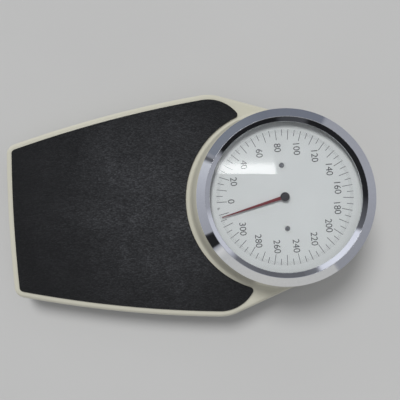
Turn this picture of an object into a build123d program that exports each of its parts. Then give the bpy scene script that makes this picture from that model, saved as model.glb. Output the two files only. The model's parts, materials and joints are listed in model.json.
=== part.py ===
"""Mechanical bathroom scale with a large tilted dial.

Millimetres, +Z up, +Y from the user's end to the dial, +X to the reader's right.
The scale stands on z = 0 and its plan is centred on x = y = 0.
"""
from build123d import *
import math
import os

# Body in plan
overall_length = 470.0
end_margin = 6.2
near_half_width = 97.2
near_bulge = 2.6
near_corner_radius = 14.0
side_radius = 1500.0
shoulder_x = 91.3
shoulder_before_dial = 84.4
shoulder_radius = 57.7

# Pressed cover
cover_sheet = 1.2
skirt_bottom = 14.0
platform_level = 40.0
rim_radius = 6.0
collar_rise = 1.0
collar_top_margin = 0.3
collar_drop = 3.2
collar_lip_radius = 3.0
collar_opening_margin = 1.4
collar_sections = 5
flare_radius = 5.5
flare_step = 0.5
flare_draft = 45.0

# Rubber mat
mat_margin = 8.4
mat_thickness = 2.0
mat_arc_margin = 5.7
mat_tip_radius = 4.5
mat_edge_radius = 0.6

# Base pan and feet
foot_height = 6.0
pan_sheet = 1.2
pan_inset = 3.4
pan_height = 16.0
pan_corner_radius = 4.0
rib_width = 12.0
rib_rise = 1.6
rib_x = 22.0
rib_start = 30.0
rib_end = 78.0
foot_radius = 13.0
foot_neck_radius = 4.0
foot_head_radius = 6.0
foot_head_height = 1.8
foot_clearance = 0.1
near_foot_side = 17.2
near_foot_end = 23.0
far_foot_x = 84.0
far_foot_ahead = 31.7
pan_floor = foot_height + pan_sheet

# Dial head, measured in the dial's own plane, whose zero is the bezel's outer edge
dial_tilt = 5.5
dial_level = 84.0
bezel_edge = 2.0
bezel_sheet = 1.2
bevel_width = 5.5
band_width = 11.2
ridge_height = 5.1
ridge_round = 0.5
window_radius = 93.8
window_depth = 1.5
bezel_grip_clearance = 0.1
bezel_grip_depth = 6.0
glass_rim = 6.7
glass_thickness = 2.0
glass_crown = 5.6
seal_thickness = 0.8
bowl_sheet = 1.2
bowl_margin = 4.2
bowl_rim_margin = 3.4
bowl_lip = 3.0
dial_depth = 8.9
dial_plate_thickness = 1.0
dial_plate_gap = 0.3
dial_centre_hole = 4.0
dial_screw_x = 39.9
screw_head_radius = 3.3
screw_head_height = 1.7
screw_slot_length = 3.8
screw_slot_width = 0.7
screw_slot_depth = 0.9
screw_radius = 2.0
screw_length = 4.5
hole_clearance = 0.1
press_gap = 0.02
running_gap = 0.05

# Numbers on the dial run clockwise from the user's side
full_turn_pounds = 330.0
capacity_pounds = 320.0
rest_pounds = -12.3
pointer_length = 82.5
pointer_root_width = 4.4
pointer_tip_width = 1.1
pointer_thickness = 0.6
pointer_depth = 6.4
pointer_boss_radius = 3.0
pointer_boss_height = 1.2
cap_radius = 5.7
cap_height = 2.3

# Movement: pinion, rack and crank
spindle_radius = 1.0
spindle_tail = 1.2
pinion_module = 0.7
pinion_teeth = 10
pressure_angle = 20.0
backlash = 0.12
rack_addendum = 0.4
rack_depth = 22.5
rack_thickness = 3.0
rack_bar_width = 5.6
rack_lead = 3.0
rack_fork_start = 14.0
rack_fork_clearance = 0.25
rack_strip_thickness = 2.5
rack_strip_step = 0.25
pinion_face = 3.4
pinion_boss_radius = 2.0
pinion_boss_height = 1.6
crank_arm = 40.0
crank_thickness = 2.5
crank_x = 8.0
crank_boss_radius = 5.0
crank_end_radius = 3.4
crank_pivot_back = 29.4
crank_pivot_radius = 2.0
drive_pin_radius = 1.5
drive_pin_reach = 4.2
crank_bracket_sheet = 1.5
crank_side_gap = 0.5
crank_bracket_length = 22.0
slot_clearance = 0.15
bridge_thickness = 1.5
bridge_drop = 20.0
bridge_left = 16.0
bridge_right = 26.0
bridge_near = 14.0
bridge_far = 36.0
spacer_radius = 3.0
spacer_inset = 4.0
bearing_body_radius = 3.0
bearing_flange_radius = 4.4
bearing_flange = 1.2
guide_gap = 0.15
guide_length = 9.0
guide_start = -8.5
guide_wall = 3.0
rack_spring_wire = 0.7
rack_spring_radius = 2.4
rack_spring_pitch = 1.25
rack_spring_turns = 14
rack_spring_lead = 1.5
rack_lug_thickness = 2.0
anchor_radius = 3.5

# Levers
load_reach = 48.0
platform_travel = 1.5
near_fulcrum_side = 37.2
near_fulcrum_end = 32.0
nose_x = 38.0
nose_back = 54.3
far_fulcrum_side = 37.0
far_fulcrum_back = 63.3
short_nose_side = 5.5
pin_radius = 2.0
pin_level = 24.0
nose_pin_level = 30.0
short_nose_level = 18.5
lever_sheet = 3.0
lever_depth = 12.0
lever_nose_depth = 7.0
lever_overhang = 8.0
bracket_sheet = 2.0
bracket_length = 16.0
bracket_top_length = 10.0
bracket_above_pin = 5.0
long_bracket_gap = 8.0
short_bracket_gap = 12.0
notch_clearance = 0.08
link_sheet = 2.0
link_clearance = 0.35
link_edge = 2.4
link_side = 4.13
rivet_radius = 1.5
rivet_head_radius = 2.6
rivet_head_height = 1.0
rivet_inset = 3.0

# Springs and their tower
spring_x = 20.0
spring_wire = 2.6
spring_radius = 8.8
spring_pitch = 3.1
spring_turns = 5.5
spring_bend = 3.0
nose_plate_thickness = 3.0
nose_plate_gap = 0.8
nose_plate_half_length = 45.0
nose_plate_width = 14.0
saddle_clearance = 0.3
saddle_sheet = 2.0
saddle_side_gap = 1.5
adjuster_thickness = 2.5
adjuster_gap = 1.6
crossbar_thickness = 2.5
tower_half_length = 58.0
tower_width = 16.0
post_x = 52.0
post_radius = 4.0
post_foot_radius = 7.0
post_foot_height = 2.0
stud_radius = 2.5
nut_height = 2.6
nut_across = 8.0
zero_screw_radius = 2.5
zero_screw_head_radius = 4.5
zero_screw_head_height = 1.5
zero_wheel_radius = 14.0
zero_wheel_thickness = 3.6
zero_wheel_bottom = 1.6
knurls = 24
knurl_radius = 1.2

# Pillars that carry the dial bowl
pillar_radius = 5.0
near_pillar_x = 70.0
near_pillar_back = 40.0
far_pillar_x = 60.0
far_pillar_ahead = 62.0
pillar_screw_radius = 2.0
pillar_screw_length = 12.0
pillar_screw_head_radius = 4.0
pillar_screw_head_height = 2.0

# Places and travels that follow from the sizes above
ridge_radius = window_radius + bevel_width
bezel_radius = ridge_radius + band_width
glass_radius = window_radius + glass_rim
bowl_radius = window_radius + bowl_margin
bowl_rim_radius = glass_radius + bowl_rim_margin
bezel_grip_radius = bowl_rim_radius + bezel_grip_clearance
end_radius = bezel_radius + end_margin
collar_top_radius = bezel_radius - collar_top_margin
collar_opening_radius = bezel_grip_radius + bezel_sheet + collar_opening_margin
mat_arc_radius = end_radius + mat_arc_margin
dial_y = overall_length / 2 - end_radius
near_end_y = -overall_length / 2
near_foot_x = near_half_width - near_foot_side
near_foot_y = near_end_y + near_foot_end
far_foot_y = dial_y + far_foot_ahead
near_fulcrum_x = near_half_width - near_fulcrum_side
near_fulcrum_y = near_end_y + near_fulcrum_end
far_fulcrum_x = shoulder_x + shoulder_radius - far_fulcrum_side
far_fulcrum_y = dial_y - far_fulcrum_back
nose_y = dial_y - nose_back
rib_start_y = near_end_y + rib_start
rib_end_y = dial_y - rib_end
pitch_radius = pinion_module * pinion_teeth / 2
rack_travel = 2 * math.pi * pitch_radius * capacity_pounds / full_turn_pounds
crank_half_angle = rack_travel / crank_arm / 2
nose_reach = nose_y - near_fulcrum_y
nose_travel = platform_travel * nose_reach / load_reach
short_arm = nose_travel / (2 * crank_half_angle)
link_y = (near_fulcrum_y + far_fulcrum_y) / 2

tilt = math.radians(dial_tilt)
dial_axis = Vector(0, -math.sin(tilt), math.cos(tilt))
dial_plane = Plane(origin=(0, dial_y, dial_level), x_dir=(1, 0, 0), z_dir=dial_axis)

os.makedirs("parts", exist_ok=True)


def save(part, label):
    """Label a finished piece and write it."""
    part.label = label
    export_step(part, f"parts/{label}.step")


def toward(center, point, reach):
    """The point at a given reach from a centre, on the way to another point."""
    span = math.dist(center, point)
    return (
        center[0] + (point[0] - center[0]) * reach / span,
        center[1] + (point[1] - center[1]) * reach / span,
    )


def circles_meet(first, first_radius, second, second_radius, side):
    """Where two circles cross, on the side that the sign picks."""
    span = math.dist(first, second)
    along = (first_radius**2 - second_radius**2 + span**2) / (2 * span)
    across = side * math.sqrt(first_radius**2 - along**2)
    step_x = (second[0] - first[0]) / span
    step_y = (second[1] - first[1]) / span
    return (
        first[0] + along * step_x - across * step_y,
        first[1] + along * step_y + across * step_x,
    )


# Circles that make the outline: near end, side, shoulder, and the round end at the dial
near_radius = (near_half_width**2 + near_bulge**2) / (2 * near_bulge)
near_center = (0, near_end_y + near_radius)
near_corner = (near_half_width, near_end_y + near_bulge)
shoulder_center = (shoulder_x, dial_y - shoulder_before_dial)
end_center = (0, dial_y)
side_center = circles_meet(shoulder_center, side_radius - shoulder_radius, near_corner, side_radius, -1)
flank_angle = math.acos((end_radius - shoulder_radius) / math.dist(shoulder_center, end_center)) + math.atan2(
    shoulder_center[1] - dial_y, shoulder_center[0]
)


def platform_side(inset):
    """Corner, side and shoulder of the outline at the reader's right, and where the shoulder starts."""
    corner = circles_meet(near_center, near_radius - inset, side_center, side_radius - inset, 1)
    join_way = (
        2 * shoulder_center[0] - side_center[0],
        2 * shoulder_center[1] - side_center[1],
    )
    join = toward(shoulder_center, join_way, shoulder_radius - inset)
    near = (0, near_end_y + inset)
    near_middle = toward(near_center, (corner[0] / 2, corner[1]), near_radius - inset)
    side_middle = toward(
        side_center, ((corner[0] + join[0]) / 2, (corner[1] + join[1]) / 2), side_radius - inset
    )
    ThreePointArc(near, near_middle, corner)
    ThreePointArc(corner, side_middle, join)
    return join


def body_outline(inset):
    """The body in plan, a given distance inside the cover's edge."""
    normal = (math.cos(flank_angle), math.sin(flank_angle))
    with BuildSketch() as outline:
        with BuildLine():
            join = platform_side(inset)
            shoulder = shoulder_radius - inset
            leave = (shoulder_center[0] + shoulder * normal[0], shoulder_center[1] + shoulder * normal[1])
            arrive = ((end_radius - inset) * normal[0], dial_y + (end_radius - inset) * normal[1])
            middle = ((join[0] + leave[0]) / 2, (join[1] + leave[1]) / 2)
            ThreePointArc(join, toward(shoulder_center, middle, shoulder), leave)
            Line(leave, arrive)
            far = (0, dial_y + end_radius - inset)
            chord_middle = ((arrive[0] + far[0]) / 2, (arrive[1] + far[1]) / 2)
            end_middle = toward(end_center, chord_middle, end_radius - inset)
            ThreePointArc(arrive, end_middle, far)
            mirror(about=Plane.YZ)
        make_face()
        corners = outline.vertices().group_by(Axis.Y)[0]
        fillet(corners, near_corner_radius - inset)
    return outline.sketch


def mat_outline():
    """The mat in plan: the platform's edge, rounded lobes and a hollow end concentric with the dial."""
    shoulder = shoulder_radius - mat_margin
    tip = circles_meet(shoulder_center, shoulder, end_center, mat_arc_radius, -1)
    with BuildSketch() as outline:
        with BuildLine():
            join = platform_side(mat_margin)
            middle = ((join[0] + tip[0]) / 2, (join[1] + tip[1]) / 2)
            ThreePointArc(join, toward(shoulder_center, middle, shoulder), tip)
            bottom = (0, dial_y - mat_arc_radius)
            chord_middle = ((tip[0] + bottom[0]) / 2, (tip[1] + bottom[1]) / 2)
            arc_middle = toward(end_center, chord_middle, mat_arc_radius)
            ThreePointArc(tip, arc_middle, bottom)
            mirror(about=Plane.YZ)
        make_face()
        corners = outline.vertices().group_by(Axis.Y)[0]
        fillet(corners, near_corner_radius - mat_margin)
        tips = outline.vertices().group_by(Axis.Y)[-1]
        fillet(tips, mat_tip_radius)
    return outline.sketch


def cover_form(inset):
    """The cover's outer form, or with an inset its inner form: slab with a rounded rim, flare and collar."""
    top = platform_level - inset
    foot = platform_level + collar_rise
    radius = end_radius - inset
    prism = body_outline(inset)
    center = Vector(0, dial_y, 0)

    # Concave foot of the collar, trimmed by a slope that starts where the rim's rounding starts
    flare_base = platform_level - rim_radius
    flare_plane = Plane(origin=center, x_dir=(1, 0, 0), z_dir=(0, -1, 0))
    bow_x = end_radius - flare_step + flare_radius
    bow_z = platform_level + flare_radius
    bow = flare_radius + inset
    with BuildPart() as flare:
        with BuildSketch(flare_plane):
            with BuildLine():
                inner = bow_x - 2 * bow
                Polyline(
                    (bow_x - bow, bow_z), (inner, bow_z), (inner, flare_base), (bow_x, flare_base),
                    (bow_x, bow_z - bow),
                )
                slant = bow * math.sqrt(0.5)
                ThreePointArc((bow_x, bow_z - bow), (bow_x - slant, bow_z - slant), (bow_x - bow, bow_z))
            make_face()
        revolve(axis=Axis(center, (0, 0, 1)))
        with BuildSketch(Plane.XY.offset(flare_base)):
            add(body_outline(inset / math.cos(math.radians(flare_draft))))
            with Locations((0, dial_y)):
                Circle(bow_x + rim_radius + flare_radius, mode=Mode.INTERSECT)
        extrude(amount=bow_z - flare_base, taper=flare_draft, mode=Mode.INTERSECT)

    collar_start = center + Vector(0, 0, foot)
    collar_end = dial_plane.offset(-collar_drop - inset).origin
    with BuildPart() as form:
        with BuildSketch(Plane.XY.offset(skirt_bottom - inset)):
            add(prism)
        extrude(amount=top - skirt_bottom + inset)
        fillet(form.faces().sort_by(Axis.Z)[-1].edges(), rim_radius - inset)
        add(flare.part)
        with BuildSketch(Plane(origin=center + Vector(0, 0, skirt_bottom - inset))):
            Circle(radius)
        extrude(amount=foot - skirt_bottom + inset)
        # The collar leans and narrows more and more on its way up to the dial
        for section in range(collar_sections):
            share = section / (collar_sections - 1)
            lean = math.radians(share * dial_tilt)
            way = Vector(0, -math.sin(lean), math.cos(lean))
            level = Plane(origin=collar_start + (collar_end - collar_start) * share, x_dir=(1, 0, 0), z_dir=way)
            with BuildSketch(level):
                Circle(radius - (end_radius - collar_top_radius) * share**2)
        loft()
        lip = form.faces().sort_by(Axis(dial_plane.origin, dial_axis))[-1].edges()
        fillet(lip, collar_lip_radius - inset)
    return form.part


# Platform cover
cover_outside = cover_form(0)
cover_inside = cover_form(cover_sheet)
with BuildPart() as platform_cover:
    add(cover_outside)
    add(cover_inside, mode=Mode.SUBTRACT)
    with BuildSketch(dial_plane.offset(-2 * collar_drop - 4 * cover_sheet)):
        Circle(collar_opening_radius)
    extrude(amount=4 * collar_drop + 4 * cover_sheet, mode=Mode.SUBTRACT)
save(platform_cover.part, "platform_cover")

# Platform mat
mat_sketch = mat_outline()
with BuildPart() as platform_mat:
    with BuildSketch(Plane.XY.offset(platform_level)):
        add(mat_sketch)
    extrude(amount=mat_thickness)
    fillet(platform_mat.faces().sort_by(Axis.Z)[-1].edges(), mat_edge_radius)
save(platform_mat.part, "platform_mat")


def pan_form(inset):
    """The base pan's outer form, or with an inset the hollow inside it."""
    plan = body_outline(pan_inset + inset)
    rise = rib_rise
    with BuildPart() as form:
        with BuildSketch(Plane.XY.offset(foot_height + inset)):
            add(plan)
        extrude(amount=pan_height)
        fillet(form.faces().sort_by(Axis.Z)[0].edges(), pan_corner_radius - inset)
        with BuildSketch(Plane.XY.offset(foot_height + inset)):
            with Locations((rib_x, (rib_start_y + rib_end_y) / 2), (-rib_x, (rib_start_y + rib_end_y) / 2)):
                SlotOverall(rib_end_y - rib_start_y + 2 * inset, rib_width + 2 * inset, rotation=90)
        extrude(amount=rise, mode=Mode.SUBTRACT)
    return form.part


foot_spots = {
    "near_left_foot": (-near_foot_x, near_foot_y),
    "near_right_foot": (near_foot_x, near_foot_y),
    "far_left_foot": (-far_foot_x, far_foot_y),
    "far_right_foot": (far_foot_x, far_foot_y),
}
pillar_spots = [
    (-near_pillar_x, dial_y - near_pillar_back),
    (near_pillar_x, dial_y - near_pillar_back),
    (-far_pillar_x, dial_y + far_pillar_ahead),
    (far_pillar_x, dial_y + far_pillar_ahead),
]
post_spots = [(-post_x, nose_y), (post_x, nose_y)]
fulcrum_spots = {
    "near_left": (-near_fulcrum_x, near_fulcrum_y, long_bracket_gap),
    "near_right": (near_fulcrum_x, near_fulcrum_y, long_bracket_gap),
    "far_left": (-far_fulcrum_x, far_fulcrum_y, short_bracket_gap),
    "far_right": (far_fulcrum_x, far_fulcrum_y, short_bracket_gap),
}

# The crank turns on an axis square to the dial's mirror plane
crank_pivot = dial_plane.from_local_coords(Vector(0, -crank_pivot_back, -rack_depth - crank_arm))
crank_bracket_half = crank_thickness / 2 + crank_side_gap
rivet_spots = []
for spot_x, spot_y, gap in fulcrum_spots.values():
    for side in (-1, 1):
        rivet_spots.append((spot_x, spot_y + side * (bracket_length / 2 - rivet_inset)))
for side in (-1, 1):
    rivet_spots.append((crank_x, crank_pivot.Y + side * (crank_bracket_length / 2 - rivet_inset)))

# Base pan
pan_outside = pan_form(0)
pan_inside = pan_form(pan_sheet)
with BuildPart() as base_pan:
    add(pan_outside)
    add(pan_inside, mode=Mode.SUBTRACT)
    with Locations(*[Pos(x, y, foot_height) for x, y in foot_spots.values()]):
        Hole(foot_neck_radius + foot_clearance)
    with Locations(*[Pos(x, y, foot_height) for x, y in pillar_spots]):
        Hole(pillar_screw_radius + hole_clearance)
    with Locations(*[Pos(x, y, foot_height) for x, y in post_spots]):
        Hole(stud_radius + press_gap)
    with Locations(*[Pos(x, y, foot_height) for x, y in rivet_spots]):
        Hole(rivet_radius + press_gap)
    with Locations(Pos(0, nose_y, foot_height)):
        Hole(zero_screw_radius + running_gap)
save(base_pan.part, "base_pan")

# Rubber feet, each pushed into its hole
for label, (foot_x, foot_y) in foot_spots.items():
    with BuildPart() as foot:
        with BuildSketch(Plane.XY):
            with Locations((foot_x, foot_y)):
                Circle(foot_radius)
        extrude(amount=foot_height)
        chamfer(foot.faces().sort_by(Axis.Z)[0].edges(), foot_height / 4)
        with BuildSketch(Plane.XY.offset(foot_height)):
            with Locations((foot_x, foot_y)):
                Circle(foot_neck_radius)
        extrude(amount=pan_sheet)
        with BuildSketch(Plane.XY.offset(pan_floor)):
            with Locations((foot_x, foot_y)):
                Circle(foot_head_radius)
        extrude(amount=foot_head_height, taper=20)
    save(foot.part, label)


def ear_profile(half_foot, half_top, foot_level, top_level, notch_level, notch_way):
    """A bracket's ear seen from the side, with an open notch for a pin."""
    notch = pin_radius + notch_clearance
    open_end = abs(top_level - notch_level) + pin_radius
    with BuildSketch() as ear:
        with BuildLine():
            Polyline(
                (-half_foot, foot_level), (half_foot, foot_level), (half_top, top_level), (-half_top, top_level),
                close=True,
            )
        make_face()
        with Locations((0, notch_level)):
            Circle(notch, mode=Mode.SUBTRACT)
        with Locations((0, notch_level + notch_way * open_end / 2)):
            Rectangle(2 * notch, open_end, mode=Mode.SUBTRACT)
    return ear.sketch


# Fulcrum brackets on the pan
fulcrum_ear = ear_profile(
    bracket_length / 2, bracket_top_length / 2, pan_floor, pin_level + bracket_above_pin, pin_level, 1
)
for place_name, (spot_x, spot_y, gap) in fulcrum_spots.items():
    with BuildPart() as bracket:
        with BuildSketch(Plane.XY.offset(pan_floor)):
            with Locations((spot_x, spot_y)):
                RectangleRounded(gap + 2 * bracket_sheet, bracket_length, bracket_sheet / 2)
        extrude(amount=bracket_sheet)
        for side in (-1, 1):
            face_x = spot_x + side * gap / 2
            with BuildSketch(Plane(origin=(face_x, spot_y, 0), x_dir=(0, 1, 0), z_dir=(1, 0, 0))):
                add(fulcrum_ear)
            extrude(amount=side * bracket_sheet)
        with Locations(
            Pos(spot_x, spot_y + bracket_length / 2 - rivet_inset, pan_floor),
            Pos(spot_x, spot_y - bracket_length / 2 + rivet_inset, pan_floor),
        ):
            Hole(rivet_radius + press_gap)
    save(bracket.part, f"{place_name}_fulcrum_bracket")


def lever_point(fulcrum, nose, reach):
    """Plan position on a lever at a reach along Y from its fulcrum."""
    share = reach / (nose[1] - fulcrum[1])
    return (fulcrum[0] + (nose[0] - fulcrum[0]) * share, fulcrum[1] + reach)


long_fulcrum = (near_fulcrum_x, near_fulcrum_y)
long_nose = (nose_x, nose_y)
hook = lever_point(long_fulcrum, long_nose, link_y - near_fulcrum_y)
link_x = hook[0] + link_side
short_nose_x = link_x + short_nose_side
short_fulcrum = (far_fulcrum_x, far_fulcrum_y)
short_nose = (short_nose_x, link_y)
long_load = lever_point(long_fulcrum, long_nose, load_reach)
short_load = lever_point(short_fulcrum, short_nose, -load_reach)
hook_level = pin_level + (nose_pin_level - pin_level) * (link_y - near_fulcrum_y) / nose_reach

# Load brackets under the cover
load_spots = {
    "near_left": (-long_load[0], long_load[1], long_bracket_gap),
    "near_right": (long_load[0], long_load[1], long_bracket_gap),
    "far_left": (-short_load[0], short_load[1], short_bracket_gap),
    "far_right": (short_load[0], short_load[1], short_bracket_gap),
}
cover_underside = platform_level - cover_sheet
load_ear = ear_profile(
    bracket_length / 2, bracket_top_length / 2, cover_underside, pin_level - bracket_above_pin, pin_level, -1
)
for place_name, (spot_x, spot_y, gap) in load_spots.items():
    with BuildPart() as bracket:
        with BuildSketch(Plane.XY.offset(cover_underside - bracket_sheet)):
            with Locations((spot_x, spot_y)):
                RectangleRounded(gap + 2 * bracket_sheet, bracket_length, bracket_sheet / 2)
        extrude(amount=bracket_sheet)
        for side in (-1, 1):
            face_x = spot_x + side * gap / 2
            with BuildSketch(Plane(origin=(face_x, spot_y, 0), x_dir=(0, 1, 0), z_dir=(1, 0, 0))):
                add(load_ear)
            extrude(amount=side * bracket_sheet)
    save(bracket.part, f"{place_name}_load_bracket")


def build_lever(fulcrum, nose, nose_level, nose_depth, pins, label):
    """A lever of flat bar on edge, drilled for its pins; each pin is x, y, level and half length."""
    span = math.dist(fulcrum, nose)
    along = ((nose[0] - fulcrum[0]) / span, (nose[1] - fulcrum[1]) / span)
    bar_plane = Plane(
        origin=(fulcrum[0], fulcrum[1], pin_level), x_dir=(along[0], along[1], 0), z_dir=(along[1], -along[0], 0)
    )
    rise = nose_level - pin_level
    knee = load_reach + lever_overhang
    with BuildPart() as lever:
        with BuildSketch(bar_plane):
            with BuildLine():
                Polyline(
                    (-lever_overhang, -lever_depth / 2),
                    (knee, -lever_depth / 2),
                    (span + lever_overhang / 2, rise - nose_depth / 2),
                    (span + lever_overhang / 2, rise + nose_depth / 2),
                    (knee, lever_depth / 2),
                    (-lever_overhang, lever_depth / 2),
                    close=True,
                )
            make_face()
        extrude(amount=lever_sheet / 2, both=True)
        fillet(lever.edges().filter_by(Axis(bar_plane.origin, bar_plane.z_dir)), lever_sheet / 2)
        for x, y, level, half_length in pins:
            with Locations(Plane(origin=(x, y, level), z_dir=(1, 0, 0))):
                Hole(pin_radius + press_gap)
    save(lever.part, label)
    with BuildPart() as lever_pins:
        for x, y, level, half_length in pins:
            with BuildSketch(Plane(origin=(x, y, level), z_dir=(1, 0, 0))):
                Circle(pin_radius)
            extrude(amount=half_length, both=True)
    save(lever_pins.part, f"{label}_pins")


# Long and short levers with their pins, left and right
long_pin_half = long_bracket_gap / 2 + bracket_sheet + 1
short_pin_half = short_bracket_gap / 2 + bracket_sheet + 1
saddle_half = saddle_side_gap + lever_sheet / 2 + saddle_sheet
hook_pin_half = link_side + link_sheet
nose_pin_half = short_nose_side + link_sheet
for side, name in ((-1, "left"), (1, "right")):
    build_lever(
        (side * long_fulcrum[0], long_fulcrum[1]),
        (side * long_nose[0], long_nose[1]),
        nose_pin_level,
        lever_nose_depth,
        [
            (side * long_fulcrum[0], long_fulcrum[1], pin_level, long_pin_half),
            (side * long_load[0], long_load[1], pin_level, long_pin_half),
            (side * hook[0], hook[1], hook_level, hook_pin_half),
            (side * long_nose[0], long_nose[1], nose_pin_level, saddle_half + saddle_side_gap / 2),
        ],
        f"{name}_long_lever",
    )
    build_lever(
        (side * short_fulcrum[0], short_fulcrum[1]),
        (side * short_nose[0], short_nose[1]),
        short_nose_level,
        lever_nose_depth,
        [
            (side * short_fulcrum[0], short_fulcrum[1], pin_level, short_pin_half),
            (side * short_load[0], short_load[1], pin_level, short_pin_half),
            (side * short_nose[0], short_nose[1], short_nose_level, nose_pin_half),
        ],
        f"{name}_short_lever",
    )
    link_hole = pin_radius + link_clearance
    with BuildPart() as link:
        face_x = side * link_x - link_sheet / 2
        with BuildSketch(Plane(origin=(face_x, link_y, 0), x_dir=(0, 1, 0), z_dir=(1, 0, 0))):
            with Locations((0, (hook_level + short_nose_level) / 2)):
                SlotCenterToCenter(
                    hook_level - short_nose_level, 2 * (link_hole + link_edge), rotation=90
                )
        extrude(amount=link_sheet)
        with Locations(
            Plane(origin=(face_x, link_y, hook_level), z_dir=(1, 0, 0)),
            Plane(origin=(face_x, link_y, short_nose_level), z_dir=(1, 0, 0)),
        ):
            Hole(link_hole)
    save(link.part, f"{name}_lever_link")


def biarc(start, start_way, end, end_way):
    """Two arcs that leave one point and reach another along the given ways."""
    chord = end - start
    ways = start_way + end_way
    spread = 2 * (1 - start_way.dot(end_way))
    reach = (math.sqrt(chord.dot(ways) ** 2 + spread * chord.dot(chord)) - chord.dot(ways)) / spread
    start_corner = start + start_way * reach
    end_corner = end - end_way * reach
    middle = (start_corner + end_corner) * 0.5
    TangentArc(start, middle, tangent=start_way)
    TangentArc(middle, end, tangent=end_corner - start_corner)


def coil(plane, radius, pitch, turns, wire, bend, lead):
    """A spring wound along the plane's normal, with a straight leg at each end; it starts at the origin."""
    half_turns = round(2 * turns)
    first_level = lead + bend
    axis = plane.z_dir

    def helix(half_turn):
        angle = math.pi * half_turn
        level = first_level + pitch * half_turn / 2
        point = plane.from_local_coords(Vector(radius * math.cos(angle), radius * math.sin(angle), level))
        way = Vector(-radius * math.sin(angle), radius * math.cos(angle), pitch / (2 * math.pi))
        tip = plane.from_local_coords(way) - plane.origin
        return point, tip.normalized()

    with BuildPart() as spring:
        with BuildLine() as path:
            point, way = helix(0)
            flat = (way - axis * way.dot(axis)).normalized()
            leg_end = point - flat * bend - axis * bend
            Line(leg_end - axis * lead, leg_end)
            biarc(leg_end, axis, point, way)
            for half_turn in range(1, half_turns + 1):
                next_point, next_way = helix(half_turn)
                biarc(point, way, next_point, next_way)
                point, way = next_point, next_way
            flat = (way - axis * way.dot(axis)).normalized()
            leg_start = point + flat * bend + axis * bend
            biarc(point, way, leg_start, axis)
            Line(leg_start, leg_start + axis * lead)
        wire_path = path.wires()[0]
        with BuildSketch(Plane(origin=wire_path @ 0, z_dir=wire_path % 0)):
            Circle(wire / 2)
        sweep(path=wire_path)
    return spring.part, wire_path


def least_gap(wire_path, wire, turns):
    """The smallest gap between the spring's turns, from points on its middle line."""
    count = round(24 * turns)
    points = [wire_path.position_at(step / count) for step in range(count + 1)]
    apart = wire_path.length / count * round(count / turns / 3)
    gap = math.inf
    for first in range(count):
        for second in range(first + 1, count + 1):
            if (second - first) * wire_path.length / count > apart:
                gap = min(gap, (points[second] - points[first]).length - wire)
    return gap


# Nose plate, hung from the springs, with saddles for the long levers' nose pins
nose_plate_top = nose_pin_level - lever_nose_depth / 2 - nose_plate_gap
tab_x = crank_x + crank_thickness / 2 + 1
short_pin_y = crank_pivot.Y - short_arm * math.cos(crank_half_angle)
short_pin_z = crank_pivot.Z + short_arm * math.sin(crank_half_angle)
tab_slot_half = drive_pin_radius + slot_clearance
tab_slot_middle = crank_pivot.Y - short_arm * (1 + math.cos(crank_half_angle)) / 2
tab_slot_travel = short_arm * (1 - math.cos(crank_half_angle))
with BuildPart() as nose_plate:
    with BuildSketch(Plane.XY.offset(nose_plate_top - nose_plate_thickness)):
        with Locations((0, nose_y)):
            RectangleRounded(2 * nose_plate_half_length, nose_plate_width, 2)
        with Locations((crank_x, nose_y + nose_plate_width / 2)):
            Rectangle(crank_thickness + 2, nose_plate_width / 2, mode=Mode.SUBTRACT)
        with Locations((0, nose_y)):
            Circle(zero_screw_radius + 1, mode=Mode.SUBTRACT)
    extrude(amount=nose_plate_thickness)
    for side in (-1, 1):
        for step in (-1, 1):
            near_face = side * nose_x + step * (saddle_half - saddle_sheet)
            with BuildSketch(Plane(origin=(near_face, nose_y, 0), x_dir=(0, 1, 0), z_dir=(1, 0, 0))):
                saddle_top = nose_pin_level + pin_radius
                saddle_notch = pin_radius + saddle_clearance
                with BuildLine():
                    Polyline(
                        (-nose_plate_width / 2, nose_plate_top - nose_plate_thickness / 2),
                        (nose_plate_width / 2, nose_plate_top - nose_plate_thickness / 2),
                        (nose_plate_width / 2 - 1.5, saddle_top),
                        (1.5 - nose_plate_width / 2, saddle_top),
                        close=True,
                    )
                make_face()
                with Locations((0, nose_pin_level)):
                    Circle(saddle_notch, mode=Mode.SUBTRACT)
                with Locations((0, nose_pin_level + pin_radius)):
                    Rectangle(2 * saddle_notch, 2 * pin_radius, mode=Mode.SUBTRACT)
            extrude(amount=step * saddle_sheet)
    with BuildSketch(Plane(origin=(tab_x, 0, 0), x_dir=(0, 1, 0), z_dir=(1, 0, 0))):
        tab_top = nose_plate_top
        tab_bottom = short_pin_z - crank_end_radius - 1
        tab_end = crank_pivot.Y - short_arm + crank_end_radius + 2
        with BuildLine():
            Polyline(
                (nose_y, tab_top), (nose_y, tab_top - nose_plate_thickness), (nose_y + 3, tab_bottom),
                (tab_end, tab_bottom), (tab_end, tab_top), close=True,
            )
        make_face()
        with Locations((tab_slot_middle, short_pin_z)):
            SlotCenterToCenter(tab_slot_travel + slot_clearance, 2 * tab_slot_half, mode=Mode.SUBTRACT)
    extrude(amount=saddle_sheet)
save(nose_plate.part, "nose_plate")

# Main springs
spring_length = spring_turns * spring_pitch + 2 * (spring_bend + spring_wire)
for side, name in ((-1, "left"), (1, "right")):
    spring_plane = Plane(origin=(side * spring_x, nose_y, nose_plate_top))
    spring_part, spring_line = coil(
        spring_plane, spring_radius, spring_pitch, spring_turns, spring_wire, spring_bend, spring_wire
    )
    save(spring_part, f"{name}_main_spring")
    print(f"{name}_main_spring least gap {least_gap(spring_line, spring_wire, spring_turns):.2f} mm")

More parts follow.
